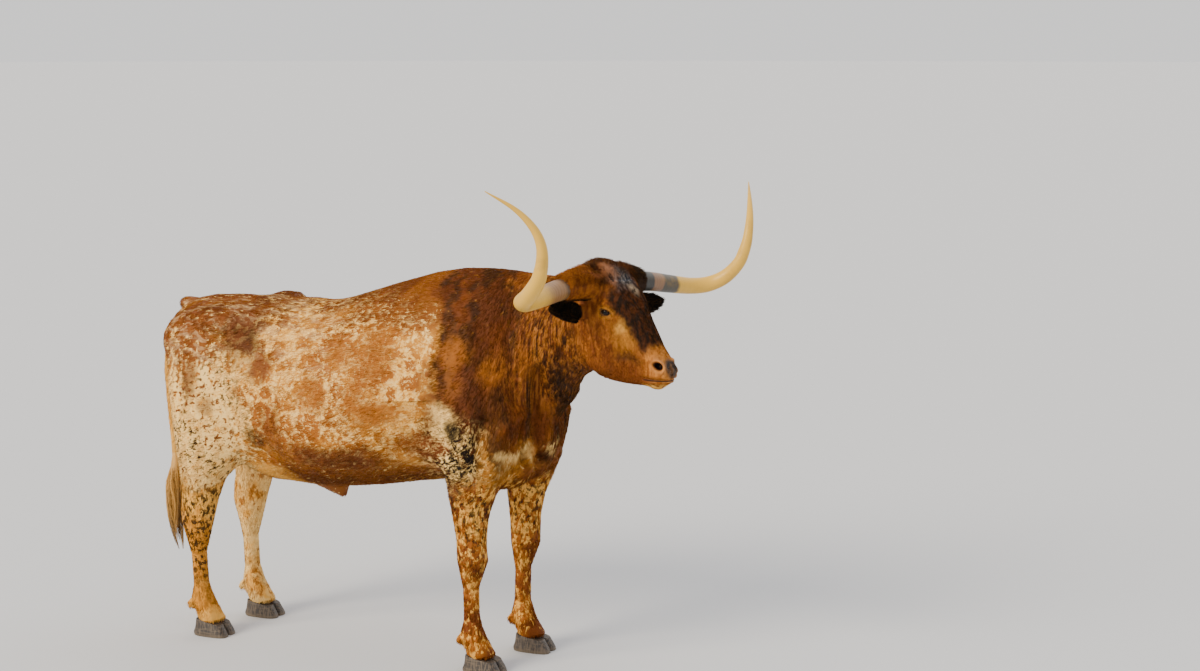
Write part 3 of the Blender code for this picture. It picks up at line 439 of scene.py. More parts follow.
# %% A place from a pixel of the frame, and a soft ellipse
def seen(px, py, y=-0.29):
    """The drawing's x and z where the camera's ray through a pixel of the frame meets a plane at Y."""
    ray = AHEAD + RIGHT * ((px - FRAME_WIDE / 2) / FOCAL) + UP * ((FRAME_HIGH / 2 - py) / FOCAL)
    start = CAMERA_AT - SHIFT
    reach = (y - start.y) / ray.y
    return start.x + ray.x * reach, start.z + ray.z * reach


def spot(paint, place, centre, radii, soft=0.3):
    """1 inside an ellipse, 0 outside, with a soft edge."""
    away = paint.vector("SUBTRACT", place, tuple(centre))
    away = paint.vector("MULTIPLY", away, tuple(1 / radius for radius in radii))
    return paint.length(away).fall(1 - soft, 1 + soft)


# %% Spots of the near side: pixel, half sizes in pixels, how strong, colour
PIXELS_A_METRE = (222, 250)
NEAR_SPOTS = [
    # The deep-brown spot at (247, 342) is painted shade in the hollow in front of the near hook; the
    # red-brown one at (237, 338) is partly brown hair and partly that painted shade.
    ((237, 338), (17, 22), 0.85, RED_BROWN), ((247, 342), (8, 17), 0.4, DEEP_BROWN),
    ((263, 366), (13, 12), 0.95, RUST), ((344, 352), (16, 14), 0.8, ORANGE),
    ((378, 358), (15, 30), 0.85, ORANGE), ((382, 410), (26, 13), 0.9, ORANGE),
    ((319, 390), (11, 16), 0.8, ORANGE), ((360, 392), (11, 16), 0.7, ORANGE),
    ((280, 430), (12, 24), 0.8, RUST), ((256, 438), (13, 11), 0.7, DEEP_BROWN),
    ((188, 380), (9, 19), 0.8, RUST), ((205, 405), (8, 6), 0.6, RUST), ((238, 392), (8, 6), 0.6, ORANGE),
    ((345, 456), (38, 11), 0.8, RED_BROWN), ((300, 452), (16, 9), 0.7, RUST),
    ((420, 445), (26, 12), 0.7, RUST), ((452, 357), (13, 13), 0.7, ORANGE),
    ((484, 372), (10, 14), 0.7, ORANGE), ((510, 365), (8, 16), 0.5, ORANGE),
    # Painted shade and light on the brisket: the deep-brown and near-black upright spots at (545, 392), (541,
    # 400), (536, 436) and (496, 450) darken its creases; the tan spot at (554, 438) and the white one at
    # (503, 461) are partly hair and partly painted light on the fold's front and the lobe.
    ((452, 390), (9, 16), 0.6, ORANGE), ((545, 392), (16, 26), 0.6, DEEP_BROWN),
    ((470, 400), (30, 16), 0.5, RED_BROWN), ((541, 400), (7, 24), 0.8, NEAR_BLACK),
    ((536, 436), (7, 26), 0.9, NEAR_BLACK), ((554, 438), (8, 24), 0.6, TAN),
    ((496, 450), (6, 26), 0.7, DEEP_BROWN), ((503, 461), (5, 6), 0.7, WHITE_HAIR),
    ((447, 415), (13, 9), 0.9, WHITE_HAIR), ((456, 432), (7, 11), 0.9, NEAR_BLACK),
]
print(len(NEAR_SPOTS), "spots on the near side")


# %% The trunk
def fields_of(paint):
    """The places and noises that all the patches share."""
    f = SimpleNamespace()
    f.place = paint.vector("SUBTRACT", paint.attribute("root", "Vector"), tuple(SHIFT))
    f.ragged = paint.warped(f.place, (0.12, 0.12, 0.12), 10.0, 3.0, 0.6)
    f.x, f.y, f.z = paint.parts(paint.warped(f.place, (0.34, 0.1, 0.34), 3.6, 4.0, 0.62))
    f.near = f.y.fall(-0.02, 0.04)
    f.grain = paint.noise(f.place, 52.0, 3.0, 0.65, (1.0, 1.0, 0.7))
    f.clouds = paint.noise(f.ragged, 6.5, 3.0, 0.6)
    f.crumbs = paint.noise(f.ragged, 60.0, 4.0, 0.75)
    f.pepper = paint.noise(f.place, 58.0, 2.0, 0.6)
    f.fore = f.x.rise(0.32, 0.39) * f.z.rise(0.74, 0.92)
    return f


def trunk_colour(paint, f):
    """An orange and red-brown ground, and over it white hair as a net, as frost, as flecks and as dots."""
    x, z, grain, clouds = f.x, f.z, f.grain, f.clouds
    cells = paint.borders(f.ragged, 11.0)
    barrel = spot(paint, f.ragged, (-0.02, 0.0, 1.12), (0.54, 0.9, 0.30), 0.35)
    edge = spot(paint, f.ragged, (0.27, 0.0, 1.10), (0.12, 0.9, 0.30), 0.6)
    rump = x.fall(-0.64, -0.20) * z.fall(1.04, 1.34) * z.rise(0.60, 0.72)
    upper = x.fall(-0.30, -0.10) * z.rise(1.16, 1.30)
    net = cells.fall(0.03, 0.26) * barrel * 0.32
    white = (net + rump * 0.47 + upper * 0.17 + edge * 0.10 + grain).rise(0.76, 0.85)
    lying = paint.noise(f.ragged, 26.0, 4.0, 0.65, (0.30, 1.0, 1.5))
    frost = lying.rise(0.50, 0.62) * x.fall(-0.20, 0.05) * z.rise(1.06, 1.22)
    flecks = (grain + barrel * 0.04 + rump * 0.02).rise(0.62, 0.67) * z.fall(1.40, 1.48) * 0.85
    dots = (f.crumbs + (cells.fall(0.0, 0.30) - 0.5) * 0.06).rise(0.545, 0.580) * barrel
    specks = (f.pepper + rump * 0.02).rise(0.575, 0.61) * rump
    behind = 1 - f.fore
    return paint.layers(
        clouds.shade(0.44, 0.62, ORANGE, TAN),
        (x.fall(-0.42, -0.30) * z.rise(1.10, 1.22) * 0.7, RUST),
        (z.rise(1.28, 1.40) * 0.85, clouds.shade(0.40, 0.55, RED_BROWN, RUST)),
        (z.fall(0.78, 0.90) * x.rise(-0.40, -0.25) * 0.85, clouds.shade(0.45, 0.55, RED_BROWN, RUST)),
        (white * behind, (grain + rump * 0.2).shade(0.5, 0.7, CREAM, WHITE_HAIR)),
        (frost * 0.6, rgb(198, 160, 114)),
        (flecks * behind, WHITE_HAIR),
        (dots * behind * 0.8, paint.over(f.near, CREAM, WHITE_HAIR)),
        (f.crumbs.fall(0.41, 0.46) * barrel * behind * 0.6, ORANGE),
        (specks, clouds.shade(0.46, 0.54, DEEP_BROWN, RUST)))


# %% The neck, the chest and the legs
def neck_colour(paint, f):
    """Red-brown with upright dark streaks, and golden strands toward the head."""
    streaks = paint.noise(f.place, 17.0, 3.0, 0.55, (1.0, 1.0, 0.16))
    tall = paint.noise(f.place, 8.0, 3.0, 0.6, (1.0, 1.0, 0.40))
    strands = paint.noise(f.place, 95.0, 2.0, 0.5, (1.0, 1.0, 0.045))
    golden = f.x.rise(0.58, 0.76) * f.z.rise(0.95, 1.10)
    return paint.layers(
        tall.shade(0.42, 0.60, RED_BROWN, RUST),
        ((tall + streaks * 0.5).rise(0.80, 0.92) * 0.8, ORANGE),
        ((streaks - f.x.rise(0.62, 0.85) * 0.05).rise(0.46, 0.60) * 0.8, DEEP_BROWN),
        (strands.rise(0.47, 0.58) * golden * 0.75, rgb(176, 110, 44)),
        (strands.fall(0.38, 0.47) * golden * 0.7, DEEP_BROWN),
        ((f.grain + f.z.fall(0.95, 1.10) * 0.05).rise(0.62, 0.68) * f.x.fall(0.60, 0.75) * 0.25, TAN))


def chest_layers(paint, f):
    """The white and black salt at the elbow, and the tan fold of the brisket with its white hairs."""
    elbow = spot(paint, f.ragged, (0.46, -0.3, 0.87), (0.16, 0.6, 0.15), 0.4)
    pale = spot(paint, f.ragged, (0.42, -0.3, 0.97), (0.06, 0.5, 0.05), 0.5)
    lobe = spot(paint, f.ragged, (0.62, -0.10, 0.86), (0.07, 0.26, 0.13), 0.6)
    tuft = spot(paint, f.ragged, (0.765, -0.03, 0.88), (0.03, 0.05, 0.03), 0.6)
    dark = f.clouds.shade(0.42, 0.5, RED_BROWN, NEAR_BLACK)
    warm = f.clouds.shade(0.45, 0.6, ORANGE, TAN)
    return ((elbow, (f.crumbs + pale * 0.10).shade(0.50, 0.56, dark, WHITE_HAIR)),
            (lobe * 0.9, (f.grain + f.clouds * 0.4).shade(0.80, 0.85, warm, WHITE_HAIR)),
            (tuft * f.grain.rise(0.47, 0.55) * 0.7, WHITE_HAIR))


def near_layers(paint, f):
    """The spots of the near side, where the photograph shows them."""
    broken = f.near * (f.grain + 0.10).rise(0.38, 0.56)
    for pixel, halves, strength, colour in NEAR_SPOTS:
        across, height = seen(*pixel)
        wide, tall = (half / scale for half, scale in zip(halves, PIXELS_A_METRE))
        shape = spot(paint, f.ragged, (across, -0.3, height), (wide, 0.5, tall), 0.55)
        yield shape * broken * strength, colour


def leg_layers(paint, f):
    """The pale cod, the legs, whose near hind one is peppered, and the cream tail."""
    x, z, grain, clouds, pepper = f.x, f.z, f.grain, f.clouds, f.pepper
    exact_x, exact_z = paint.parts(f.place)[::2]
    hind = paint.layers(
        clouds.shade(0.46, 0.60, paint.over(f.near, WHITE_HAIR, TAN), CREAM),
        ((grain + clouds * 0.5).rise(0.80, 0.86) * (1 - f.near) * 0.8, ORANGE),
        ((x + clouds * 0.1).fall(-0.86, -0.80) * f.near * 0.85, ORANGE),
        (pepper.rise(0.50, 0.55) * x.rise(-0.88, -0.83) * f.near * z.rise(0.02, 0.30) * 0.9, NEAR_BLACK))
    front = paint.layers(
        clouds.shade(0.44, 0.60, RUST, ORANGE),
        ((grain + clouds * 0.5 + z.rise(0.35, 0.70) * 0.05).rise(0.79, 0.86), CREAM),
        (pepper.rise(0.53, 0.58) * z.rise(0.30, 0.60) * 0.85, NEAR_BLACK))
    return ((exact_z.fall(0.735, 0.765) * x.rise(-0.50, -0.42) * x.fall(-0.40, -0.26) * 0.85, CREAM),
            (z.fall(0.62, 0.72) * x.fall(-0.50, -0.40), hind),
            (z.fall(0.70, 0.80) * x.rise(0.10, 0.20), front),
            (exact_x.fall(-0.985, -0.955) * z.rise(0.50, 0.60) * z.fall(1.10, 1.22) * 0.9, CREAM))


# %% The head
MOUTH_LEVEL = -0.3315
PEBBLE_SCALE = 420.0


def head_places(paint, f):
    """The places in the head's own axes: forward, sideways and up from the middle of the poll."""
    def carried_back(place):
        """The place less the poll's, then its share along each axis of the head."""
        from_poll = paint.vector("SUBTRACT", place, tuple(DRAWN_HEAD.translation))
        return paint.joined(*(paint.dot(from_poll, axis) for axis in DRAWN_HEAD.to_3x3().transposed()))

    h = SimpleNamespace()
    h.exact, h.loose = carried_back(f.place), carried_back(f.ragged)
    h.ahead, h.side, h.high = paint.parts(h.exact)
    h.width = h.side.size()
    h.folded = paint.joined(h.ahead, h.width, h.high)
    h.run, h.front = paint.dot(h.exact, face(1.0, 0.0)), paint.dot(h.loose, face(0.0, 1.0))
    h.fine = paint.noise(f.place, 60.0, 3.0, 0.6, (1.0, 1.0, 0.3))
    return h


def face_colour(paint, f, h):
    """Cheek, front of the face darkened by painted shade, poll and horn bosses."""
    fine, high, width = h.fine, h.high, h.width
    broken = fine.rise(0.34, 0.48)
    # The front of the face is painted dark brown: painted shade on the planes turned away from the light.
    shaded_front = ((h.front - width * 0.35 + fine * 0.02).rise(-0.008, 0.030) * h.run.rise(0.03, 0.09)
                  * h.run.fall(0.32, 0.36))

    def patch(centre, radii, soft):
        """A ragged ellipse on the head."""
        return spot(paint, h.loose, centre, radii, soft)

    return paint.layers(
        (f.clouds * 0.5 + fine * 0.5).shade(0.38, 0.56, RUST, rgb(168, 100, 38)),
        (patch((0.150, -0.085, -0.172), (0.040, 0.08, 0.062), 0.9)
         * (fine.rise(0.30, 0.55) * 0.5 + 0.5) * 0.85, TAN),
        (patch((0.142, -0.09, -0.150), (0.018, 0.06, 0.022), 0.9) * 0.7, CREAM),
        (high.fall(-0.31, -0.24) * h.ahead.fall(0.20, 0.25) * 0.8, RUST),
        (patch((0.165, -0.07, -0.262), (0.050, 0.05, 0.020), 0.8) * 0.7, DEEP_BROWN),
        (shaded_front, fine.shade(0.40, 0.62, rgb(36, 22, 13), rgb(78, 40, 16))),
        (patch((0.125, 0.0, -0.045), (0.05, 0.05, 0.060), 0.8) * fine.rise(0.36, 0.54) * 0.75, RED_BROWN),
        (high.rise(-0.02, 0.03) * width.fall(0.10, 0.14), fine.shade(0.42, 0.58, DEEP_BROWN, RED_BROWN)),
        (patch((0.0, -0.19, -0.02), (0.09, 0.105, 0.070), 0.5) * 0.9, fine.shade(0.42, 0.58, RUST, ORANGE)),
        (patch((0.090, 0.002, 0.028), (0.052, 0.052, 0.046), 0.7),
         fine.shade(0.46, 0.60, SLATE, rgb(138, 128, 122))),
        (patch((0.062, -0.052, 0.040), (0.032, 0.036, 0.022), 0.8) * broken, rgb(192, 132, 96)),
        (patch((0.044, -0.104, 0.052), (0.011, 0.046, 0.009), 0.8) * broken, rgb(176, 108, 66)),
        (patch((0.126, 0.020, -0.010), (0.020, 0.024, 0.020), 0.8) * broken, rgb(176, 152, 124)),
        # The far boss is painted near-black: partly its dark hair and partly painted shade.
        (h.side.rise(0.08, 0.12) * high.rise(-0.07, -0.04) * 0.95, NEAR_BLACK))


# %% The muzzle, and all the markings together
def muzzle_layers(paint, f, h):
    """Tan muzzle, cream chin, the nostrils' rims, the wet bare nose, and the pits and the line of the mouth
    painted dark as painted shade.
    """
    fine = h.fine
    snout = (f.clouds + fine).shade(0.86, 1.12, ORANGE, MUZZLE_TAN)
    wet = paint.noise(f.place, 55.0, 3.0, 0.6).shade(0.46, 0.60, rgb(48, 32, 20), rgb(116, 78, 46))
    furrows = paint.borders(f.place, PEBBLE_SCALE).fall(0.0, 0.12) * 0.7
    rim = spot(paint, h.folded, (0.318, 0.055, -0.262), (0.040, 0.034, 0.036), 0.7)
    level = h.high + (f.clouds - 0.5) * 0.006 - MOUTH_LEVEL
    return (((h.run + h.front * 0.4 + fine * 0.02).rise(0.338, 0.385) * 0.9,
             h.front.shade(-0.06, 0.03, RUST, snout)),
            (h.high.fall(-0.356, -0.340) * h.ahead.rise(0.20, 0.24) * fine.rise(0.30, 0.50), CREAM),
            (rim * 0.75, fine.shade(0.42, 0.60, rgb(222, 152, 84), PINK_SKIN)),
            (paint.attribute("pad"), paint.over(furrows, wet, rgb(20, 15, 13))),
            # The nostrils' pits are painted near-black: painted shade in the hollows.
            (paint.attribute("pit"), fine.shade(0.45, 0.62, rgb(20, 11, 9), rgb(58, 28, 20))),
            # The line of the mouth is a dark stroke: painted shade in the crease between the lips.
            (level.size().fall(0.0014, 0.0052) * h.ahead.rise(0.215, 0.245) * 0.9, rgb(34, 20, 15)))


def markings(paint):
    """The colour of the hair from where its root is."""
    f = fields_of(paint)
    hide = paint.layers(trunk_colour(paint, f), (f.fore, neck_colour(paint, f)), *chest_layers(paint, f),
                        *near_layers(paint, f), *leg_layers(paint, f))
    h = head_places(paint, f)
    ahead, high, width = h.ahead, h.high, h.width
    behind = ahead.rise(-0.13, -0.09)
    socket = in_head(EYES[1][:3, 3][None])[0] + (0.004, 0.02, 0.0)
    # The ears, and a thin band above them, are painted near-black: painted shade, as of the horns' shadow
    # over them.
    ears = (width.rise(0.112, 0.122) * high.fall(-0.048, -0.038) * high.rise(-0.20, -0.17)
            * ahead.fall(0.05, 0.065))
    coat = paint.layers(
        face_colour(paint, f, h), *muzzle_layers(paint, f, h),
        (spot(paint, h.folded, socket, (0.036, 0.032, 0.025), 0.5) * 0.65, TAN),
        (spot(paint, h.folded, socket, (0.0235, 0.03, 0.0145), 0.3) * 0.85, DEEP_BROWN),
        (ears * behind, h.fine.shade(0.5, 0.62, rgb(14, 11, 10), rgb(36, 24, 17))))
    on_head = ahead.rise(-0.12, -0.02) * high.rise(-0.42, -0.36)
    beside = width.rise(0.14, 0.17) * high.rise(-0.20, -0.17) * behind
    return paint.over(on_head.either(beside), hide, coat)


# %% The hide
def fine_hair(paint, place):
    """Short hair as a height: noise drawn out along the way the hair lies, back on the body or down."""
    flat = paint.noise(place, 420.0, 2.0, 0.5, (0.22, 1.0, 0.75))
    upright = paint.noise(place, 420.0, 2.0, 0.5, (1.0, 1.0, 0.16))
    x, z = paint.parts(place)[::2]
    low = z.fall(0.70, 0.90).either(x.rise(0.22, 0.34))
    return upright * low + flat * (1 - low)


hide_paint = Paint("hide")
hide_paint.feed("Base Color", markings(hide_paint))
bare_pad, hide_place = hide_paint.attribute("pad"), hide_paint.attribute("root", "Vector")
pebbles = hide_paint.borders(hide_place, PEBBLE_SCALE).rise(0.0, 0.25)
relief = fine_hair(hide_paint, hide_place) * (1 - bare_pad) + pebbles * bare_pad
hide_paint.feed("Roughness", 0.62 - bare_pad * 0.18)
hide_paint.feed("Normal", hide_paint.bump(relief, 0.0016, 0.8))
hide_paint.wet("Specular IOR Level", 0.14)
print("hide:", len(hide_paint.tree.nodes), "nodes")

# %% [markdown]
# ## The skin
# The body's solids meet face to face, with a hair's breadth between them. Copies of them are grown by more
# than that, fused with a voxel remesh into one closed skin, and relaxed, which melts their flat facets and
# draws the skin in by about the depth of the coat. Decimate then spends its triangles on the head.

# %% One skin from copies of the body's solids
FLESH = ["torso", "neck", "head", "leg_hind_right", "leg_hind_left", "leg_front_right", "leg_front_left",
         "tail", "ear_right", "ear_left"]
COPY_GROWTH = 0.0006
SKIN_VOXEL = 0.0038
SKIN_ROUNDS = 26
SKIN_TRIANGLES = 112000


def grown_copy(name, grow):
    """The merged points and faces of a solid, moved out along their normals."""
    shape = bmesh.new()
    shape.from_mesh(bpy.data.objects[name].data)
    bmesh.ops.remove_doubles(shape, verts=shape.verts, dist=1e-6)
    shape.normal_update()
    for vertex in shape.verts:
        vertex.co += vertex.normal * grow
    mesh = bpy.data.meshes.new(name + " copy")
    shape.to_mesh(mesh)
    shape.free()
    return mesh


def relaxed(points, edges, share, rounds):
    """Each round moves every point half of its SHARE of the way to the mean of its neighbours."""
    count = np.bincount(edges.ravel(), minlength=len(points))[:, None]
    first, second = edges[:, 0], edges[:, 1]
    for _ in range(rounds):
        total = np.column_stack([np.bincount(first, column[second], len(points))
                                 + np.bincount(second, column[first], len(points)) for column in points.T])
        points = points + 0.5 * share[:, None] * (total / count - points)
    return points


whole = bmesh.new()
for node in FLESH:
    copy = grown_copy(node, COPY_GROWTH)
    whole.from_mesh(copy)
    bpy.data.meshes.remove(copy)
skin_mesh = bpy.data.meshes.new("skin")
whole.to_mesh(skin_mesh)
whole.free()
skin = linked("skin", skin_mesh)
remesh = skin.modifiers.new("one skin", "REMESH")
remesh.mode = "VOXEL"
remesh.voxel_size = SKIN_VOXEL
applied(skin)
print("voxel skin:", len(skin.data.vertices), "points")

# %% Relaxing the skin, most on the trunk and least at the lids, ears and muzzle
points = points_of(skin.data)
local = in_head(points)
head_part = eased(-0.16, -0.04, local[:, 0]) * eased(0.9, 1.1, points[:, 2])
fine_part = np.zeros(len(points))
for side in (-1, 1):
    for centre in (face(EYE_PLACE[0], 0.0, side * 0.10), face(0.39, 0.05, side * 0.05)):
        away = np.linalg.norm(local - np.array(centre), axis=1)
        fine_part = np.maximum(fine_part, 1 - eased(0.025, 0.05, away))
fine_part = np.maximum(fine_part, eased(0.145, 0.165, np.abs(local[:, 1])) * (local[:, 2] < -0.05)
                       * (local[:, 2] > -0.20) * head_part)
share = (1 - 0.55 * head_part) * (1 - 0.85 * fine_part) * (0.45 + 0.55 * eased(0.45, 0.75, points[:, 2]))
points = relaxed(points, edges_of(skin.data), share, SKIN_ROUNDS)
put_points(skin.data, points)

# %% Fewer triangles where the form is broad
keep = skin.vertex_groups.new(name="thin")
neck_part = eased(0.20, 0.45, points[:, 0]) * eased(0.7, 0.9, points[:, 2])
freedom = np.clip(1 - 0.92 * np.maximum(head_part, 0.5 * neck_part), 0.05, 1.0)
for level in range(1, 11):
    keep.add(np.flatnonzero(np.round(freedom * 10).astype(int) == level).tolist(), level / 10, "REPLACE")
thin = skin.modifiers.new("fewer", "DECIMATE")
thin.vertex_group = "thin"
thin.vertex_group_factor = 1.0
thin.ratio = SKIN_TRIANGLES / (2 * len(skin.data.polygons))
applied(skin)
skin.vertex_groups.clear()
print("skin:", len(skin.data.polygons), "faces")

# %% An unwrap of the skin's own shape, made while the skin is still smooth
skin.data.uv_layers.new(name="OFBake")
bpy.context.view_layer.objects.active = skin
skin.select_set(True)
bpy.ops.object.mode_set(mode="EDIT")
bpy.ops.mesh.select_all(action="SELECT")
bpy.ops.uv.smart_project(angle_limit=math.radians(70), island_margin=0.002)
bpy.ops.object.mode_set(mode="OBJECT")
skin.select_set(False)
print("unwrapped")

# %% [markdown]
# ## Finer faces where the small forms are
# Lids, nostrils and lips need folds of a few millimetres, which the skin's faces are too large for. Only the
# faces there are split, once or twice, so that the rest of the skin stays light.

# %% Splitting the faces at the eyes, the nostrils and the mouth
ALONG_FACE, OUT_OF_FACE = np.array(face(1.0, 0.0)), np.array(face(0.0, 1.0))


def split_near(piece, chosen):
    """Splits the edges both of whose ends are CHOSEN."""
    shape = bmesh.new()
    shape.from_mesh(piece.data)
    shape.verts.ensure_lookup_table()
    edges = [edge for edge in shape.edges if chosen[edge.verts[0].index] and chosen[edge.verts[1].index]]
    bmesh.ops.subdivide_edges(shape, edges=edges, cuts=1, use_grid_fill=True)
    bmesh.ops.triangulate(shape, faces=[loop for loop in shape.faces if len(loop.verts) > 3])
    shape.to_mesh(piece.data)
    shape.free()


def to_eye(points):
    """The distance to the nearer eye."""
    return np.minimum(*(np.linalg.norm(points - EYES[side][:3, 3], axis=1) for side in (-1, 1)))


for eye_reach, with_mouth in ((0.052, True), (0.030, False)):
    points = points_of(skin.data)
    local = in_head(points)
    mouth = (local @ ALONG_FACE > 0.345) & (local[:, 0] > 0.17) & (local[:, 0] < 0.5)
    split_near(skin, (to_eye(points) < eye_reach) | (with_mouth & mouth))
points = points_of(skin.data)
local = in_head(points)
mouth = eased(0.335, 0.35, local @ ALONG_FACE) * eased(0.16, 0.18, local[:, 0])
fine_share = np.maximum(1 - eased(0.045, 0.055, to_eye(points)), mouth)
put_points(skin.data, relaxed(points, edges_of(skin.data), 0.8 * fine_share, 5))
print("skin with finer parts:", len(skin.data.polygons), "faces")

# %% [markdown]
# ## Muscles, bones and folds
# The solids give the large forms. The smaller ones are drawn on the skin as strokes: a stroke is a path with
# a width and a height, and it lifts the skin along its normals by height * exp(-(distance / width) ** 2).
# A negative height presses a groove. On the body a stroke is drawn in the side view, on the head in space.

# %% The two kinds of stroke
STROKE_REACH = 2.6


def gap_to(path, places):
    """The distance of each place from a path of straight pieces."""
    best = np.full(len(places), 1e9)
    for start, end in zip(path[:-1], path[1:]):
        step = end - start
        part = np.clip((places - start) @ step / max(step @ step, 1e-12), 0.0, 1.0)
        best = np.minimum(best, np.linalg.norm(places - start - part[:, None] * step, axis=1))
    return best


def side_stroke(places, normals, path, width, height, side):
    """How far a stroke in the side view lifts each place whose skin looks to that side."""
    lift = np.zeros(len(places))
    path = np.asarray(path, dtype=float)
    low, high = path.min(axis=0) - STROKE_REACH * width, path.max(axis=0) + STROKE_REACH * width
    drawn = places[:, [0, 2]]
    close = np.flatnonzero(((drawn > low) & (drawn < high)).all(axis=1))
    facing = np.clip(normals[close, 1] * side * 1.8 + 0.25, 0.0, 1.0)
    lift[close] = height * np.exp(-(gap_to(path, drawn[close]) / width) ** 2) * facing
    return lift


def head_stroke(places, path, width, height):
    """How far a stroke in space lifts each place; the path is first drawn onto the skin."""
    path = np.array([places[np.argmin(np.linalg.norm(places - point, axis=1))] for point in np.asarray(path)])
    return height * np.exp(-(gap_to(path, places) / width) ** 2)


# %% Strokes on the trunk and legs: pixels of the photograph's frame, then width and height in metres
def path_of(pixels, y=-0.29):
    """The path that runs through these pixels, in the plane at Y."""
    return [seen(px, py, y) for px, py in pixels]


BODY_STROKES = [
    (path_of([(432, 322), (424, 372), (428, 420), (446, 452)]), 0.034, -0.0110),
    (path_of([(455, 318), (462, 360), (476, 398)]), 0.030, 0.0050),
    (path_of([(452, 392), (462, 420), (468, 440)]), 0.050, 0.0080),
    (path_of([(492, 330), (500, 372), (512, 408)]), 0.026, -0.0070),
    (path_of([(438, 446), (450, 462), (462, 470)]), 0.014, -0.0050),
    (path_of([(268, 474), (278, 440), (284, 400), (280, 372)]), 0.030, -0.0090),
    (path_of([(252, 462), (258, 424), (254, 384)]), 0.036, 0.0070),
    (path_of([(186, 318), (178, 372), (184, 420), (196, 462)]), 0.018, -0.0060),
    (path_of([(212, 350), (206, 400), (214, 448)]), 0.022, -0.0040),
    (path_of([(232, 300), (250, 318), (268, 336)]), 0.020, -0.0060),
    (path_of([(238, 330), (262, 352), (282, 368)]), 0.034, -0.0060),
    (path_of([(206, 286), (226, 300), (240, 322)]), 0.018, 0.0050),
    (path_of([(176, 300), (186, 330), (196, 352)]), 0.022, 0.0050),
    ([(-0.833, 0.40), (-0.826, 0.30), (-0.823, 0.17)], 0.010, -0.0050),
    ([(0.430, 0.37), (0.434, 0.28), (0.436, 0.17)], 0.010, -0.0050),
    ([(0.405, 0.62), (0.415, 0.52)], 0.016, -0.0040),
    ([(-0.790, 0.560), (-0.812, 0.500), (-0.850, 0.470)], 0.014, 0.0040),
]
CHEST_STROKES = [
    (path_of([(541, 372), (541, 412), (530, 464)], -0.12), 0.020, -0.050),
    (path_of([(562, 392), (556, 430), (548, 462)], -0.12), 0.020, 0.014),
    (path_of([(520, 424), (512, 446), (509, 470)], -0.12), 0.026, 0.026),
    (path_of([(505, 414), (493, 448), (495, 476)], -0.12), 0.014, -0.026),
]
# %% Ribs, wrinkles and every stroke of the body
RELIEF = 1.55
RIB_COLUMNS = [300, 318, 336, 354, 372, 390, 406]
NECK_WRINKLES = 26


def neck_wrinkle(number, chance):
    """An upright, swaying path on the neck: top + sway * sin(3 * part + number)."""
    top = 452 + 5.6 * number + chance.uniform(-2, 2)
    start, length = 312 + 16 * math.sin(number * 2.4), chance.uniform(50, 92)
    sway = chance.uniform(-5, 5)
    return path_of([(top + sway * math.sin(3 * part + number), start + length * part)
                    for part in np.linspace(0.0, 1.0, 6)])


def body_strokes():
    """How far every place of the skin is lifted by the strokes on body, ribs, neck and chest."""
    places, normals = points_of(skin.data) - np.array(SHIFT), normals_of(skin.data)
    strokes = [(path, width, RELIEF * height) for path, width, height in BODY_STROKES] + CHEST_STROKES
    for column in RIB_COLUMNS:
        path = path_of([(column + 16, 332), (column + 8, 372), (column - 8, 410), (column - 22, 436)])
        strokes += [(path, 0.015, 0.0026), ([(x - 0.038, z) for x, z in path], 0.016, -0.0016)]
    lift = np.zeros(len(places))
    chance = np.random.default_rng(5)
    for side in (-1, 1):
        wrinkles = [(neck_wrinkle(number, chance), chance.uniform(0.005, 0.008), -0.0026)
                    for number in range(NECK_WRINKLES)]
        for path, width, height in strokes + wrinkles:
            lift += side_stroke(places, normals, path, width, height, side)
    return lift


# %% Strokes on the head: forward, sideways and up from the middle of the poll
HEAD_STROKES = [
    ([(0.112, 0.098, -0.150), (0.160, 0.088, -0.200), (0.210, 0.078, -0.245)], 0.012, 0.0042),
    ([(0.165, 0.072, -0.150), (0.235, 0.058, -0.215)], 0.018, -0.0055),
    ([(0.165, 0.085, -0.262), (0.215, 0.074, -0.288)], 0.015, -0.0045),
    ([(0.075, 0.100, -0.190), (0.105, 0.096, -0.245), (0.085, 0.085, -0.310)], 0.011, 0.0030),
    ([(0.125, 0.096, -0.205), (0.140, 0.088, -0.262)], 0.012, -0.0040),
    ([(0.040, 0.112, -0.060)], 0.022, -0.0060),
    ([(0.062, 0.112, -0.066), (0.092, 0.105, -0.060), (0.116, 0.098, -0.076)], 0.009, 0.0045),
    ([(0.145, 0.030, -0.060), (0.230, 0.028, -0.150), (0.290, 0.026, -0.215)], 0.012, 0.0030),
    ([(0.120, 0.000, -0.010), (0.150, 0.000, -0.055)], 0.030, -0.0030),
    ([(0.305, 0.045, -0.345), (0.270, 0.058, -0.350), (0.235, 0.060, -0.350)], 0.008, 0.0030),
    ([(0.325, 0.045, -0.318), (0.285, 0.066, -0.318), (0.240, 0.070, -0.316)], 0.008, 0.0028),
    ([(0.345, 0.0, -0.262), (0.345, 0.0, -0.325)], 0.0045, -0.0030),
]


# %% Strokes round the lids
# half width and half height of the arc, from and to which angle, then width and height of the stroke
LID_ARCS = [
    (0.0235, 0.0165, 15, 165, 0.0030, 0.0022), (0.0265, 0.0205, 10, 170, 0.0018, -0.0018),
    (0.0310, 0.0260, 20, 165, 0.0024, -0.0016), (0.0235, 0.0150, 195, 345, 0.0030, 0.0016),
    (0.0265, 0.0190, 190, 350, 0.0018, -0.0016), (0.0315, 0.0245, 200, 335, 0.0022, -0.0013),
]


def arc_on_lid(side, wide, tall, start, stop):
    """Points on an ellipse round the eye, from one angle to another in degrees, in the head's axes."""
    angles = np.radians(np.linspace(start, stop, 9))
    return in_head(carried(EYES[side], np.column_stack([np.full(9, 0.019), wide * np.cos(angles),
                                                        tall * np.sin(angles)])))


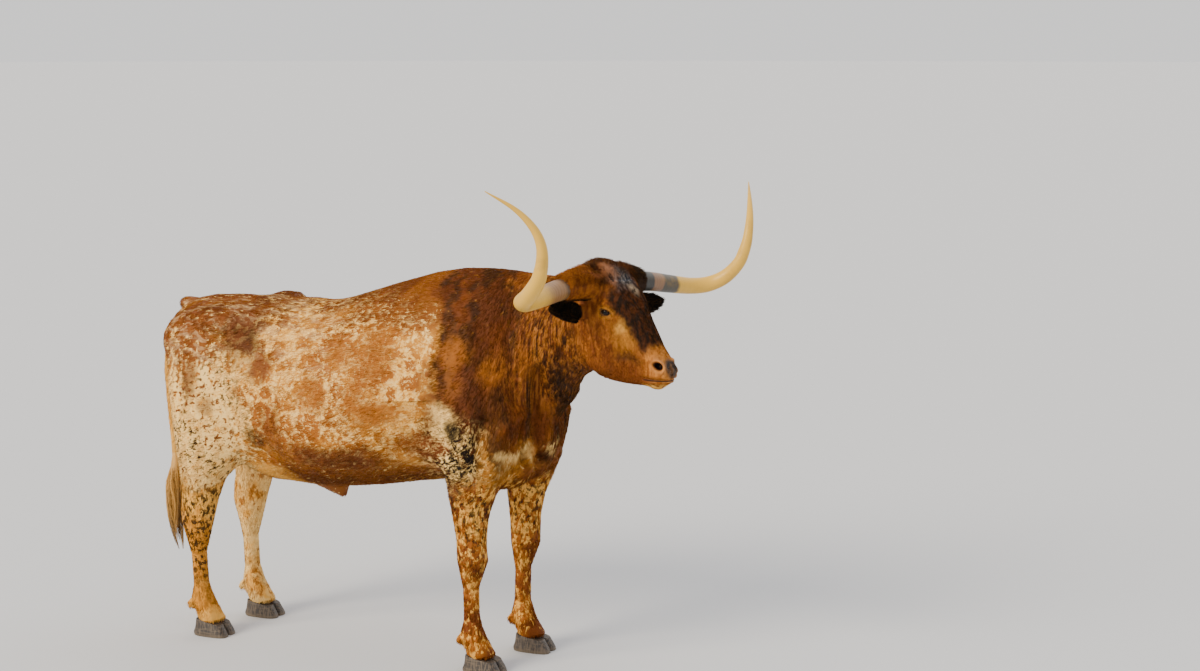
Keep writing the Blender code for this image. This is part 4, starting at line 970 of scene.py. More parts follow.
def head_strokes():
    """How far every place of the skin is lifted by the strokes on the head."""
    points = points_of(skin.data)
    lift = np.zeros(len(points))
    local = in_head(points)
    chosen = np.flatnonzero((local[:, 0] > -0.05) & (local[:, 2] < 0.12) & (local[:, 2] > -0.45)
                            & (points[:, 2] > 0.95))
    places = local[chosen]
    for side in (-1, 1):
        for path, width, height in HEAD_STROKES:
            lift[chosen] += head_stroke(places, [(a, side * t, h) for a, t, h in path], width, height)
        lips = [(0.236 + 0.097 * math.cos(turn), side * 0.073 * math.sin(turn), MOUTH_LEVEL)
                for turn in np.linspace(0.0, math.pi / 2, 9)]
        lift[chosen] += head_stroke(places, lips, 0.0030, -0.0050)
        for *arc, width, height in LID_ARCS:
            lift[chosen] += head_stroke(places, arc_on_lid(side, *arc), width, height)
    return lift


# %% The nostrils
def nostrils(points):
    """Each nostril is a bent oval: a pit pressed straight into the muzzle, and a flared rim round it."""
    local = in_head(points)
    moved, pit, near_rim = np.zeros_like(local), np.zeros(len(local)), np.zeros(len(local))
    for side in (-1, 1):
        inward = -(0.46 * OUT_OF_FACE + np.array((0.0, side * 0.84, 0.0)) + 0.18 * ALONG_FACE)
        inward /= np.linalg.norm(inward)
        away = local - np.array(face(0.401, 0.050, side * 0.055))
        across = np.cross(inward, ALONG_FACE)
        across *= np.sign(across @ OUT_OF_FACE) / np.linalg.norm(across)
        forward = np.cross(across, inward)
        forward *= np.sign(forward @ ALONG_FACE) / np.linalg.norm(forward)
        run, over = away @ forward, away @ across
        bent = over - 0.25 * run + 9.0 * run ** 2 - 0.002
        oval = np.hypot(run / 0.0225, bent / np.where(bent > 0, 0.0145, 0.0180))
        close = np.abs(away @ inward) < 0.032
        wing = 0.0050 + 0.0030 * eased(-0.004, 0.012, over)
        moved += (0.026 * (1 - eased(0.50, 1.02, oval)) * close)[:, None] * inward
        moved -= (wing * np.exp(-((oval - 1.30) / 0.26) ** 2) * close)[:, None] * inward
        pit = np.maximum(pit, (1 - eased(0.66, 0.98, oval)) * close)
        near_rim = np.maximum(near_rim, (1 - eased(1.1, 1.9, oval)) * close)
    return moved @ np.array(HEAD)[:3, :3].T, pit, near_rim


lift = body_strokes() + head_strokes()
put_points(skin.data, points_of(skin.data) + lift[:, None] * normals_of(skin.data))
moved, pit, near_rim = nostrils(points_of(skin.data))
put_points(skin.data, relaxed(points_of(skin.data) + moved, edges_of(skin.data), 0.75 * near_rim, 5))
print("strokes between", round(lift.min(), 4), "and", round(lift.max(), 4), "m")

# %% The skin takes its paint
def nose_pad(points):
    """The distance from the middle of the bare nose, in its own half sizes: 1 on its edge."""
    away = (in_head(points) - np.array((0.352, 0.010, -0.270))) / np.array((0.064, 0.054, 0.070))
    return np.where(points[:, 2] > 0.9, np.linalg.norm(away, axis=1), 9.0)


numbers(skin.data, "root", points_of(skin.data), "FLOAT_VECTOR")
numbers(skin.data, "pit", pit)
numbers(skin.data, "pad", 1 - eased(0.80, 1.12, nose_pad(points_of(skin.data))))
skin.data.polygons.foreach_set("use_smooth", [True] * len(skin.data.polygons))
finished(skin, hide_paint, "hide", *FLESH)

# %% [markdown]
# ## The eyes
# A cow's eye is large, dark and wet, with a pupil that lies level. The ball is a surface of two angles, with
# the cornea as a low bulge in front. Iris, pupil and white are painted by the place in the eye's own axes.

# %% The eyeballs
EYE_ROWS, EYE_COLUMNS = 42, 48


def eyeball(side):
    """Rings round the gaze: radius + bulge near the front, from the front pole to the back."""
    polar = np.linspace(0.0, math.pi, EYE_ROWS)[1:-1, None]
    turn = circle(EYE_COLUMNS)[None, :]
    radius = EYE_RADIUS + 0.0012 * (1 - eased(0.30, 0.72, polar))
    rings = np.stack([radius * np.cos(polar) + 0 * turn, radius * np.sin(polar) * np.cos(turn),
                      radius * np.sin(polar) * np.sin(turn)], axis=-1)
    mesh = grid_mesh("ball", carried(EYES[side], rings))
    numbers(mesh, "in_eye", in_eye(points_of(mesh), side) / EYE_RADIUS, "FLOAT_VECTOR")
    return mesh


eye_paint = Paint("wet eye", 0.10)
eye_place = eye_paint.attribute("in_eye", "Vector")
flat_place = eye_paint.vector("MULTIPLY", eye_place, (0.0, 1.0, 1.0))
to_rim = eye_paint.length(flat_place)
fibres = eye_paint.noise(eye_paint.vector("NORMALIZE", flat_place, (0.0, 0.0, 0.0)), 14.0)
pupil = eye_paint.length(eye_paint.vector("MULTIPLY", eye_place, (0.0, 2.6, 5.0)))
eye_paint.feed("Base Color", eye_paint.layers(
    fibres.shade(0.40, 0.62, rgb(20, 11, 7), rgb(44, 24, 12)),
    (to_rim.rise(0.70, 0.78), rgb(74, 52, 40)),
    (to_rim.rise(0.58, 0.66) * to_rim.fall(0.68, 0.76), rgb(16, 11, 9)),
    (pupil.fall(0.92, 1.05), rgb(6, 5, 5))))
eye_paint.wet("Specular IOR Level", 0.22)
for side, name in SIDES:
    finished(linked("eyeball_" + name, eyeball(side)), eye_paint, "eye", "eye_" + name)

# %% [markdown]
# ## The lids
# The rim of a lid is a bare, dark, rolled edge that rests on the ball. It is a tube carried round an almond
# that lies on the ball, thicker in the upper lid, and drawn out to a point toward the muzzle.

# %% The rolled edges of the lids
# how far out along the almond, how far above the ball
LID_PROFILE = np.array([(0.97, -0.0002), (0.985, 0.0009), (1.02, 0.0019), (1.08, 0.0029), (1.16, 0.0036),
                        (1.26, 0.0038), (1.38, 0.0034), (1.46, 0.0018), (1.40, -0.0006), (1.20, -0.0016)])
LID_COLUMNS = 96


def lid_ring(side):
    """A flat band round the almond: inner edge on the ball, outer edge under the skin, rolled between."""
    turn = circle(LID_COLUMNS)
    upper = np.sin(turn) > 0
    across = 0.0180 * np.cos(turn)
    high = np.where(upper, 0.0104, 0.0086) * np.sin(turn) * np.abs(np.sin(turn)) ** 0.12
    grow, above = LID_PROFILE.T
    wide = across[:, None] * (1 + (grow - 1) * 0.75)
    tall = high[:, None] * (1 + (grow - 1) * np.where(high > 0, 1.15, 0.95)[:, None])
    reach = np.hypot(wide, tall)
    bend = np.minimum(reach / EYE_RADIUS, 1.12)
    height = EYE_RADIUS + above * np.where(upper, 1.15, 0.85)[:, None]
    shrink = np.maximum(EYE_RADIUS * np.sin(bend), 1e-6) / reach * height / EYE_RADIUS
    rings = carried(EYES[side], np.stack([height * np.cos(bend), wide * shrink, tall * shrink], axis=-1))
    number = np.arange(rings.shape[0] * rings.shape[1]).reshape(rings.shape[:2])
    ahead, beside = np.roll(number, -1, axis=0), np.roll(number, -1, axis=1)
    quads = np.stack([number, beside, np.roll(beside, -1, axis=0), ahead], axis=-1).reshape(-1, 4)
    mesh = turned_out(array_mesh("lids", rings.reshape(-1, 3), [quads]))
    numbers(mesh, "root", points_of(mesh), "FLOAT_VECTOR")
    numbers(mesh, "edge", np.tile(eased(1.04, 1.20, grow), len(turn)))
    return mesh


lid_paint = Paint("lid", 0.42)
lid_tone = lid_paint.noise(lid_paint.attribute("root", "Vector"), 240.0, 3.0, 0.6)
bare = lid_tone.shade(0.40, 0.65, rgb(22, 14, 11), rgb(58, 34, 24))
lid_paint.feed("Base Color", lid_paint.over(lid_paint.attribute("edge"), bare, DEEP_BROWN))
lid_paint.feed("Normal", lid_paint.bump(lid_tone, 0.0006, 0.7))
for side, name in SIDES:
    finished(linked("lids_" + name, lid_ring(side)), lid_paint, "dark ear")

# %% [markdown]
# ## The horns
# A horn is laid down in rings, strongest and closest near the head, and worn smooth toward the tip. The
# surface is a ring carried along a curve through a few named places; its radius carries the rings, which fade
# with the distance from the root. That distance is kept as an attribute and steers the colours.

# %% The horns
# out from the middle of the head, forward, up, radius
HORN_KEYS = [(0.180, 0.000, 0.002, 0.0425), (0.280, 0.006, -0.008, 0.0405), (0.365, 0.017, -0.020, 0.0385),
             (0.478, 0.037, -0.033, 0.0352), (0.549, 0.074, -0.027, 0.0335), (0.581, 0.131, 0.005, 0.0308),
             (0.595, 0.183, 0.062, 0.0272), (0.605, 0.207, 0.130, 0.0232), (0.618, 0.209, 0.193, 0.0190),
             (0.646, 0.192, 0.251, 0.0148), (0.695, 0.154, 0.309, 0.0095), (0.775, 0.091, 0.367, 0.0022)]
FAR_HORN_SLIM = 0.94
HORN_ROWS, HORN_COLUMNS = 340, 56


def horn_mesh(side):
    """Rings along the curve: radius * (1 + growth rings that fade), squeezed a little from above."""
    keys = np.array([(number, ahead, side * out, up, radius) for number, (out, ahead, up, radius)
                     in enumerate(HORN_KEYS)])
    read = through(keys, np.linspace(0.55 if side < 0 else 0.0, len(keys) - 1, HORN_ROWS))
    path, radius = read[:, :3], read[:, 3] * (1.0 if side < 0 else FAR_HORN_SLIM)
    ahead = np.gradient(path, axis=0)
    ahead /= np.linalg.norm(ahead, axis=1)[:, None]
    along = np.concatenate([[0.0], np.cumsum(np.linalg.norm(np.diff(path, axis=0), axis=1))])
    along -= 0.02 if side < 0 else 0.01
    wide = np.cross(ahead, np.array([0.35, 0.0, 0.94]))
    wide /= np.linalg.norm(wide, axis=1)[:, None]
    high = np.cross(wide, ahead)
    turn, distance, radius = circle(HORN_COLUMNS)[None, :], along[:, None], radius[:, None]
    start = np.random.default_rng(3 + side).uniform(0, 6)
    phase = distance / 0.0125 + 0.9 * np.sin(distance / 0.037 + start) + 0.25 * np.sin(turn)
    fade = np.exp(-np.maximum(distance, 0.0) / 0.17)
    ridges = 0.00085 * fade * (np.abs(np.sin(np.pi * phase)) ** 0.7 - 0.6)
    waves = 0.0005 * np.sin(3 * turn + distance * 9) * np.minimum(radius / 0.03, 1)
    size = radius + (ridges + waves) * np.minimum(radius / 0.012, 1) - 0.0006
    rings = (path[:, None] + size[..., None] * (np.cos(turn)[..., None] * wide[:, None]
                                                + 0.97 * np.sin(turn)[..., None] * high[:, None]))
    mesh = grid_mesh("horn", carried(HEAD, rings))
    numbers(mesh, "along", np.concatenate([np.repeat(along, HORN_COLUMNS), along[[0, -1]]]))
    numbers(mesh, "root", points_of(mesh), "FLOAT_VECTOR")
    return mesh


# %% Bands of colour along the horns
def horn_paint(name, first, steps):
    """Bands of colour along the horn, each laid over the last from a place on, with ragged edges."""
    paint = Paint(name, 0.38)
    place = paint.attribute("root", "Vector")
    along = paint.attribute("along")
    ragged = along + (paint.noise(place, 28.0, 4.0, 0.6) - 0.5) * 0.03
    cloud = paint.noise(place, 11.0, 5.0, 0.6)
    rings = paint.noise(paint.joined(along), 300.0, 2.0)
    scratches = paint.noise(place, 260.0, 3.0, stretch=(0.25, 0.25, 1.0))
    paint.feed("Base Color", paint.layers(
        first, *((ragged.rise(low, high), band) for low, high, band in steps),
        (cloud.rise(0.50, 0.68) * 0.30, HORN_TAN),
        (rings.rise(0.52, 0.62) * along.fall(0.05, 0.40) * 0.40, rgb(88, 74, 58))))
    paint.feed("Roughness", 0.30 + scratches * 0.24)
    paint.feed("Normal", paint.bump(scratches + rings * along.fall(0.0, 0.5), 0.0008, 0.5))
    paint.wet("Specular IOR Level", 0.35)
    paint.wet("Coat Weight", 0.10)
    paint.wet("Coat Roughness", 0.30)
    return paint


# from and to which distance from the root the next colour comes in
NEAR_BANDS = [(0.012, 0.04, rgb(138, 100, 60)), (0.08, 0.18, IVORY), (0.86, 0.98, rgb(172, 136, 78)),
              (1.06, 1.14, HORN_TAN)]
# The far horn's slate base, up to the sharp edge of the ivory, is partly the horn's dark colour and partly
# painted shade cast by the head.
FAR_BANDS = [(0.058, 0.070, rgb(132, 98, 72)), (0.114, 0.128, rgb(74, 70, 60)), (0.192, 0.214, IVORY),
             (0.94, 1.06, rgb(172, 136, 78)), (1.12, 1.20, rgb(96, 80, 44))]
for (side, name), first, bands in zip(SIDES, (rgb(86, 62, 40), HORN_SLATE), (NEAR_BANDS, FAR_BANDS)):
    horn = linked("horn_" + name + "_ringed", horn_mesh(side))
    finished(horn, horn_paint("horn " + name, first, bands), "horn", "horn_" + name)

# %% [markdown]
# ## The hooves
# Each leg ends in two claws. A claw is a stack of rings from the sole up: flat below, its wall sloping back,
# its top slanting where the skin begins. Growth rings run round the wall, and fine lines run down it.

# %% The claws
CLAW_OUTLINE = np.array([(1.00, 0.30), (0.80, 0.78), (0.30, 1.00), (-0.45, 1.00), (-0.90, 0.72),
                         (-1.00, 0.20), (-1.00, -0.35), (-0.85, -0.82), (-0.30, -0.98), (0.35, -0.98),
                         (0.82, -0.90), (1.00, -0.55)])
# height, heel shift, toe shift, half width
CLAW_LAYERS = np.array([(0.000, 0.004, 0.000, 0.0270), (0.010, 0.000, -0.003, 0.0275),
                        (0.035, 0.006, -0.017, 0.0262), (0.085, 0.012, -0.048, 0.0235)])
CLAW_COLUMNS = 48
CLAW_LEVELS = np.concatenate([[0.0, 0.0, 0.0015], np.linspace(0.004, 0.085, 30)])
# a leg: heel, toe, distance from the middle, how much further forward the far leg stands
CLAW_PLACES = {"hind": (-0.805, -0.655, 0.167, 0.030), "front": (0.450, 0.605, 0.172, 0.050)}


def smooth_loop(corners, count):
    """A closed smooth curve through the corners."""
    total = len(corners)
    at = np.arange(count) * total / count
    first = np.floor(at).astype(int)
    part = (at - first)[:, None]
    before, here, after, beyond = (corners[(first + step) % total] for step in (-1, 0, 1, 2))
    return 0.5 * (2 * here + (after - before) * part
                  + (2 * before - 5 * here + 4 * after - beyond) * part ** 2
                  + (3 * here - before - 3 * after + beyond) * part ** 3)


def claw_mesh(heel, toe, middle, across):
    """Rings at rising heights; each height is cut at the slant of the top: min(height, top(x))."""
    outline = smooth_loop(CLAW_OUTLINE, CLAW_COLUMNS)
    shifts = through(CLAW_LAYERS, CLAW_LEVELS)
    back, front, half = heel + shifts[:, 0], toe + shifts[:, 1], shifts[:, 2]
    shrink = np.concatenate([[0.05, 0.965, 0.992], np.ones(len(CLAW_LEVELS) - 3)])
    growth = 0.0005 * np.abs(np.sin(CLAW_LEVELS * 420.0)) * (CLAW_LEVELS > 0.003)
    x = ((back + front) / 2)[:, None] + ((front - back) / 2 * shrink)[:, None] * outline[:, 0]
    centre = (middle + across * (half + 0.0022))[:, None]
    y = centre + across * (half * shrink - 0.0003 + growth)[:, None] * outline[:, 1]
    x = x + growth[:, None] * outline[:, 0]
    top = 0.0625 - 0.18 * (x - heel - 0.060)
    z = np.minimum(CLAW_LEVELS[:, None] + 0 * x, top)
    rings = np.stack([x, y, z], axis=-1) + np.array([SHIFT.x, SHIFT.y, 0.0])
    return grid_mesh("claw", rings)


# %% The claws' paint, and where the claws stand
hoof_paint = Paint("hoof horn")
hoof_place = hoof_paint.node("ShaderNodeTexCoord", {}, {}, 3)
down_lines = hoof_paint.noise(hoof_place, 220.0, 3.0, stretch=(1.0, 1.0, 0.10))
bands = hoof_paint.noise(hoof_place, 160.0, 2.0, stretch=(0.1, 0.1, 1.0))
hoof_paint.feed("Base Color", hoof_paint.layers(
    down_lines.shade(0.42, 0.62, rgb(44, 37, 33), rgb(92, 78, 64)),
    (bands.rise(0.55, 0.65) * 0.4, rgb(120, 104, 84)),
    (hoof_paint.parts(hoof_place)[2].fall(0.004, 0.02) * 0.6, rgb(110, 96, 78))))
hoof_paint.feed("Roughness", 0.38 + bands * 0.3)
hoof_paint.feed("Normal", hoof_paint.bump(down_lines + bands, 0.0010, 0.6))
for pair, (heel, toe, middle, far_step) in CLAW_PLACES.items():
    for side, side_name in SIDES:
        step = far_step if side > 0 else 0.0
        for across, claw_name in ((side, "outer"), (-side, "inner")):
            name = f"{pair}_{side_name}_{claw_name}"
            claw = linked("claw_" + name, claw_mesh(heel + step, toe + step, side * middle, across))
            finished(claw, hoof_paint, "hoof", "hoof_" + name)

# %% [markdown]
# ## The coat
# Short hair is mostly bump in the hide's material. Where it breaks the form, and thinly everywhere else, it
# is mesh: small tufts that leave the skin, lie over and end in a point. A flat one has four points, and a
# bent one seven. All tufts of a piece are made at once from arrays of roots, ways, lengths and widths. A
# tuft keeps the place of its root, so that it has the hide's colour there, and its own small spot on the
# skin's unwrap.

# %% Places for the tufts: corners, area and unwrap of the skin's triangles
skin.data.calc_loop_triangles()
TRIANGLES = rows_of(skin.data.loop_triangles, "vertices", 3, np.int32)
TRIANGLE_LOOPS = rows_of(skin.data.loop_triangles, "loops", 3, np.int32)
UNWRAP = rows_of(skin.data.uv_layers["OFBake"].data, "uv", 2)
SKIN_POINTS, SKIN_NORMALS = points_of(skin.data), normals_of(skin.data)
CORNERS = SKIN_POINTS[TRIANGLES]
MIDDLES = CORNERS.mean(axis=1)
AREAS = np.linalg.norm(np.cross(CORNERS[:, 1] - CORNERS[:, 0], CORNERS[:, 2] - CORNERS[:, 0]), axis=1) / 2
print("skin of", round(AREAS.sum(), 2), "square metres")


# %% The regions of the body, and the way their hair lies
def regions(points):
    """How far each place belongs to the head, an ear, the poll, the muzzle, the neck, a leg, the tail."""
    (x, _, z), (ahead, side, high) = (points - np.array(SHIFT)).T, in_head(points).T
    up_front = eased(0.9, 1.0, z)
    beyond = 1 - eased(0.05, 0.07, ahead)
    ear = (eased(0.112, 0.125, np.abs(side)) * (1 - eased(-0.050, -0.038, high)) * eased(-0.20, -0.17, high)
           * beyond * eased(-0.13, -0.09, ahead))
    return {"head": eased(-0.12, -0.02, ahead) * eased(-0.42, -0.37, high) * up_front,
            "ear": ear * up_front,
            "poll": eased(-0.01, 0.05, high) * eased(-0.12, -0.06, ahead) * up_front,
            "muzzle": eased(0.32, 0.36, in_head(points) @ ALONG_FACE) * eased(0.16, 0.20, ahead) * up_front,
            "neck": eased(0.40, 0.60, x) * eased(0.80, 0.95, z),
            "leg": 1 - eased(0.60, 0.76, z),
            "tail": (1 - eased(-0.98, -0.94, x)) * eased(0.55, 0.65, z)}


def bare_places(points):
    """1 where no hair grows: inside the lids, in the nostrils and on the nose pad."""
    local = in_head(points)
    bare = np.zeros(len(points))
    for side in (-1, 1):
        out, along, up = in_eye(points, side).T
        bare = np.maximum(bare, (np.hypot(along / 0.0235, up / 0.0150) < 1) & (np.abs(out) < 0.05))
        pit = np.linalg.norm(local - np.array(face(0.399, 0.040, side * 0.050)), axis=1)
        bare = np.maximum(bare, pit < 0.031)
    pad = nose_pad(points) < 1.02
    mouth = (np.abs(local[:, 2] - MOUTH_LEVEL) < 0.0045) & (local[:, 0] > 0.22) & (points[:, 2] > 0.9)
    return np.maximum(bare, pad | mouth)


def hair_way(points, normals, part):
    """The direction the hair lies in: back on the trunk, down the legs and neck, out along ears and boss."""
    local, turn = in_head(points), np.array(HEAD)[:3, :3].T
    wide = np.abs(local[:, 1])

    def blend(first, second, share):
        """FIRST * (1 - share) + SECOND * share, for each row."""
        return first * (1 - share[:, None]) + second * share[:, None]

    way = np.tile(np.array((-1.0, 0.0, -0.32)), (len(points), 1))
    way = blend(way, np.array((-0.30, 0.0, -1.0)), part["neck"])
    way = blend(way, np.array((-0.10, 0.0, -1.0)), np.maximum(part["leg"], part["tail"]))
    below = (2 * eased(-0.08, 0.0, -0.02 - local[:, 2]) - 1)[:, None]
    facing = blend(ALONG_FACE * below, np.array((-0.35, 0.0, -0.80)), eased(0.045, 0.080, wide))
    way = blend(way, facing @ turn, part["head"])
    outward = (np.sign(local[:, 1:2]) * (0.0, 1.0, 0.0) - (0.0, 0.0, 0.10)) @ turn
    boss = eased(0.11, 0.15, wide) * part["head"] * eased(-0.13, -0.09, local[:, 0])
    way = blend(way, outward, np.maximum(part["ear"], boss))
    way = way - (way * normals).sum(axis=1)[:, None] * normals
    return way / np.maximum(np.linalg.norm(way, axis=1), 1e-6)[:, None]


# %% The tufts themselves
# columns: part of the way, part of the rise, sideways, ridge, metres above the root
FLAT_TUFT = {"points": [(0.0, 0.0, -1.0, 0.0, -0.0012), (0.0, 0.0, 1.0, 0.0, -0.0012),
                        (0.12, 0.0, 0.0, 1.0, 0.0002), (1.0, 0.55, 0.0, 0.0, 0.0006)],
             "faces": [[(0, 2, 1), (0, 1, 3), (1, 2, 3), (2, 0, 3)]],
             "tip": [0.0, 0.0, 0.1, 1.0], "patch": [(-1, -1), (1, -1), (0, -0.3), (0, 1)]}
BENT_TUFT = {"points": [(0.0, 0.0, -1.0, 0.0, -0.0015), (0.0, 0.0, 1.0, 0.0, -0.0015),
                        (0.0, 0.0, 0.0, 1.0, 0.0), (0.5, 0.62, -0.8, 0.0, 0.0012),
                        (0.5, 0.62, 0.8, 0.0, 0.0012), (0.5, 0.62, 0.0, 0.8, 0.0012),
                        (0.98, 0.55, 0.0, 0.0, 0.0004)],
             "faces": [[(0, 1, 4, 3), (1, 2, 5, 4), (2, 0, 3, 5)],
                       [(0, 2, 1), (3, 4, 6), (4, 5, 6), (5, 3, 6)]],
             "tip": [0.0, 0.0, 0.0, 0.5, 0.5, 0.5, 1.0],
             "patch": [(-1, -1), (1, -1), (0, -1), (-1, 0.2), (1, 0.2), (0, 0.2), (0, 1)]}
PATCH_HALF = 0.0014


def tufts(name, kind, roots, normals, way, length, width, lift, unwrap, tone):
    """Each point: root + way * length * a + normal * lift * length * b + beside * width / 2 * c + ridge."""
    weights = np.array(kind["points"])
    count, each = len(roots), len(weights)
    axes = np.stack([way * length[:, None], normals * (lift * length)[:, None],
                     np.cross(normals, way) * (width / 2)[:, None], normals * (0.40 * width)[:, None],
                     normals], axis=1)
    points = roots[:, None] + np.einsum("pa,cax->cpx", weights, axes)
    base = (np.arange(count) * each)[:, None]
    faces = [np.concatenate([base + np.array(corners) for corners in shape]) for shape in kind["faces"]]
    mesh = array_mesh(name, points.reshape(-1, 3), faces)
    numbers(mesh, "root", np.repeat(roots, each, axis=0), "FLOAT_VECTOR")
    numbers(mesh, "tone", np.repeat(tone, each))
    numbers(mesh, "tip", np.tile(kind["tip"], count))
    places = (unwrap[:, None] + np.array(kind["patch"]) * PATCH_HALF).reshape(-1, 2)
    order = rows_of(mesh.loops, "vertex_index", 1, np.int32)[:, 0]
    mesh.uv_layers.new(name="OFBake").data.foreach_set("uv", places[order].astype(np.float32).ravel())
    return linked(name, mesh)


coat_paint = Paint("coat", 0.66)
coat_tone, coat_tip = coat_paint.attribute("tone"), coat_paint.attribute("tip")
coat_paint.feed("Base Color", coat_paint.layers(
    markings(coat_paint), (coat_tone.fall(0.0, 0.5) * 0.22, NEAR_BLACK),
    (coat_tone.rise(0.6, 1.0) * coat_tip * 0.16, CREAM)))
coat_paint.wet("Specular IOR Level", 0.06)


# %% Where the tufts stand, and how many pieces they make
def grow_coat(kind, count, a_piece, wish, sizes, seed, first_number):
    """Chooses COUNT roots by area and WISH, gives each a size and a way, and fills pieces of A_PIECE."""
    chance = np.random.default_rng(seed)
    weight = wish(regions(MIDDLES), MIDDLES) * AREAS * (1 - bare_places(MIDDLES))
    chosen = np.sort(chance.choice(len(weight), count, p=weight / weight.sum()))
    share = chance.dirichlet((1.0, 1.0, 1.0), count)[..., None]
    roots, normals = ((values[TRIANGLES[chosen]] * share).sum(axis=1)
                      for values in (SKIN_POINTS, SKIN_NORMALS))
    normals /= np.linalg.norm(normals, axis=1)[:, None]
    unwrap = (UNWRAP[TRIANGLE_LOOPS[chosen]] * share).sum(axis=1)
    part = regions(roots)
    way = hair_way(roots, normals, part)
    swing = chance.normal(0.0, 1.0, count) * (0.17 + 0.5 * part["poll"])
    way = way * np.cos(swing)[:, None] + np.cross(normals, way) * np.sin(swing)[:, None]
    length, width, lift = (size * chance.uniform(1 - spread, 1 + spread, count)
                           for size, spread in zip(sizes(part, roots), (0.3, 0.25, 0.5)))
    tone = chance.uniform(0.0, 1.0, count)
    zones = 1 * (part["head"] > 0.5) + 2 * ((part["neck"] > 0.5) & (part["head"] <= 0.5))
    order = np.lexsort((roots[:, 0], zones))
    for number, first in enumerate(range(0, count, a_piece), first_number):
        rows = order[first:first + a_piece]
        chosen_rows = (values[rows] for values in (roots, normals, way, length, width, lift, unwrap, tone))
        finished(tufts(f"coat_{number}", kind, *chosen_rows), coat_paint, "hide")
    return number + 1


# %% Where flat and bent tufts are wished for, and their sizes
def flat_wish(part, places):
    """How thickly flat tufts stand: evenly, more on the head and ears, fewer on the curly poll."""
    return (1 + 2.6 * part["head"] + 1.0 * part["ear"] + 0.5 * part["leg"] + 0.3 * part["neck"]
            - 0.8 * part["poll"] * part["head"])


def flat_sizes(part, places):
    """Length and width of a flat tuft in metres and its rise: long on the neck, short on head and legs."""
    length = 0.0185 + 0.003 * part["neck"] - 0.0045 * part["leg"]
    length = length * (1 - part["head"]) + 0.0095 * part["head"] - 0.0032 * part["muzzle"] * part["head"]
    return length, 0.0021 - 0.0010 * part["head"], 0.07 + 0.02 * part["leg"]


def under_and_rims(part, places):
    """How far a place belongs to the feet and to the belly line, where hair stands off the form."""
    height = places[:, 2] - SHIFT.z
    feet = (1 - eased(0.10, 0.17, height)) * eased(0.045, 0.06, height)
    belly = eased(0.62, 0.70, height) * (1 - eased(0.76, 0.82, height)) * (1 - part["leg"])
    return feet, belly


def bent_wish(part, places):
    """How thickly bent tufts stand: mostly on the poll, the ears, the feet, the belly line and the tail."""
    feet, belly = under_and_rims(part, places)
    return (0.12 + 14 * part["poll"] * part["head"] + 10 * part["ear"] + 2.5 * feet + 1.2 * belly
            + 1.5 * part["tail"])


def bent_sizes(part, places):
    """Length and width of a bent tuft in metres and its rise: longest and most upright on the poll."""
    feet, belly = under_and_rims(part, places)
    curly = part["poll"] * part["head"]
    length = 0.016 + 0.009 * curly - 0.003 * part["ear"] + 0.004 * feet + 0.006 * belly + 0.004 * part["tail"]
    length = length * (1 - 0.45 * part["head"] * (1 - curly) * (1 - part["ear"]))
    lift = 0.14 + 0.34 * curly + 0.16 * part["ear"] + 0.10 * feet + 0.05 * belly
    return length, 0.0018 - 0.0004 * part["ear"], lift


# %% Growing the coat
FEW = 1.0
FLAT_TUFTS, FLAT_A_PIECE = int(245000 * FEW), 49000
BENT_TUFTS, BENT_A_PIECE = int(37000 * FEW), 18500
following = grow_coat(FLAT_TUFT, FLAT_TUFTS, FLAT_A_PIECE, flat_wish, flat_sizes, 21, 1)
following = grow_coat(BENT_TUFT, BENT_TUFTS, BENT_A_PIECE, bent_wish, bent_sizes, 22, following)
print("coat:", following - 1, "pieces")

# %% [markdown]
# ## Long hair: the switch and the lashes
# Long hair is strands, three-sided tubes that thin out to a point. The switch of the tail is made of locks: a
# lock has a middle line that sways as it falls, and its strands draw together toward its tip.

# %% Strands along many paths at once
def strand_mesh(name, paths, radius):
    """Three-sided tubes: paths has a row of places per strand, radius one number per place."""
    count, rows = paths.shape[:2]
    ahead = np.gradient(paths, axis=1)
    ahead /= np.maximum(np.linalg.norm(ahead, axis=2), 1e-9)[..., None]
    wide = np.cross(ahead, np.array((0.31, 0.95, 0.05)))
    wide /= np.maximum(np.linalg.norm(wide, axis=2), 1e-9)[..., None]
    high = np.cross(wide, ahead)
    turn = circle(3)
    rings = paths[:, :, None] + radius[..., None, None] * (np.cos(turn)[:, None] * wide[:, :, None]
                                                           + np.sin(turn)[:, None] * high[:, :, None])
    number = np.arange(count * rows * 3).reshape(count, rows, 3)
    beside = np.roll(number, -1, axis=2)
    quads = np.stack([number[:, :-1], number[:, 1:], beside[:, 1:], beside[:, :-1]], axis=-1).reshape(-1, 4)
    ends = np.concatenate([number[:, 0], number[:, -1][:, ::-1]])
    mesh = array_mesh(name, rings.reshape(-1, 3), [quads, ends])
    numbers(mesh, "root", np.repeat(paths[:, 0], rows * 3, axis=0), "FLOAT_VECTOR")
    return mesh


# %% The shape of the switch
SWITCH_TOP, SWITCH_DEPTH = 0.700, 0.39
# depth below the top, x, y, outer radius
SWITCH_KEYS = [(0.0, -1.000, -0.020, 0.0215), (0.055, -1.000, -0.026, 0.036), (0.140, -1.001, -0.034, 0.043),
               (0.230, -0.997, -0.040, 0.041), (0.310, -0.988, -0.043, 0.034), (0.390, -0.974, -0.045, 0.014)]
GOLDEN_TURN = 2.39996
LOCKS, STRANDS_A_LOCK, STRAND_ROWS = 46, 26, 15
CORE_ROWS, CORE_COLUMNS = 24, 20


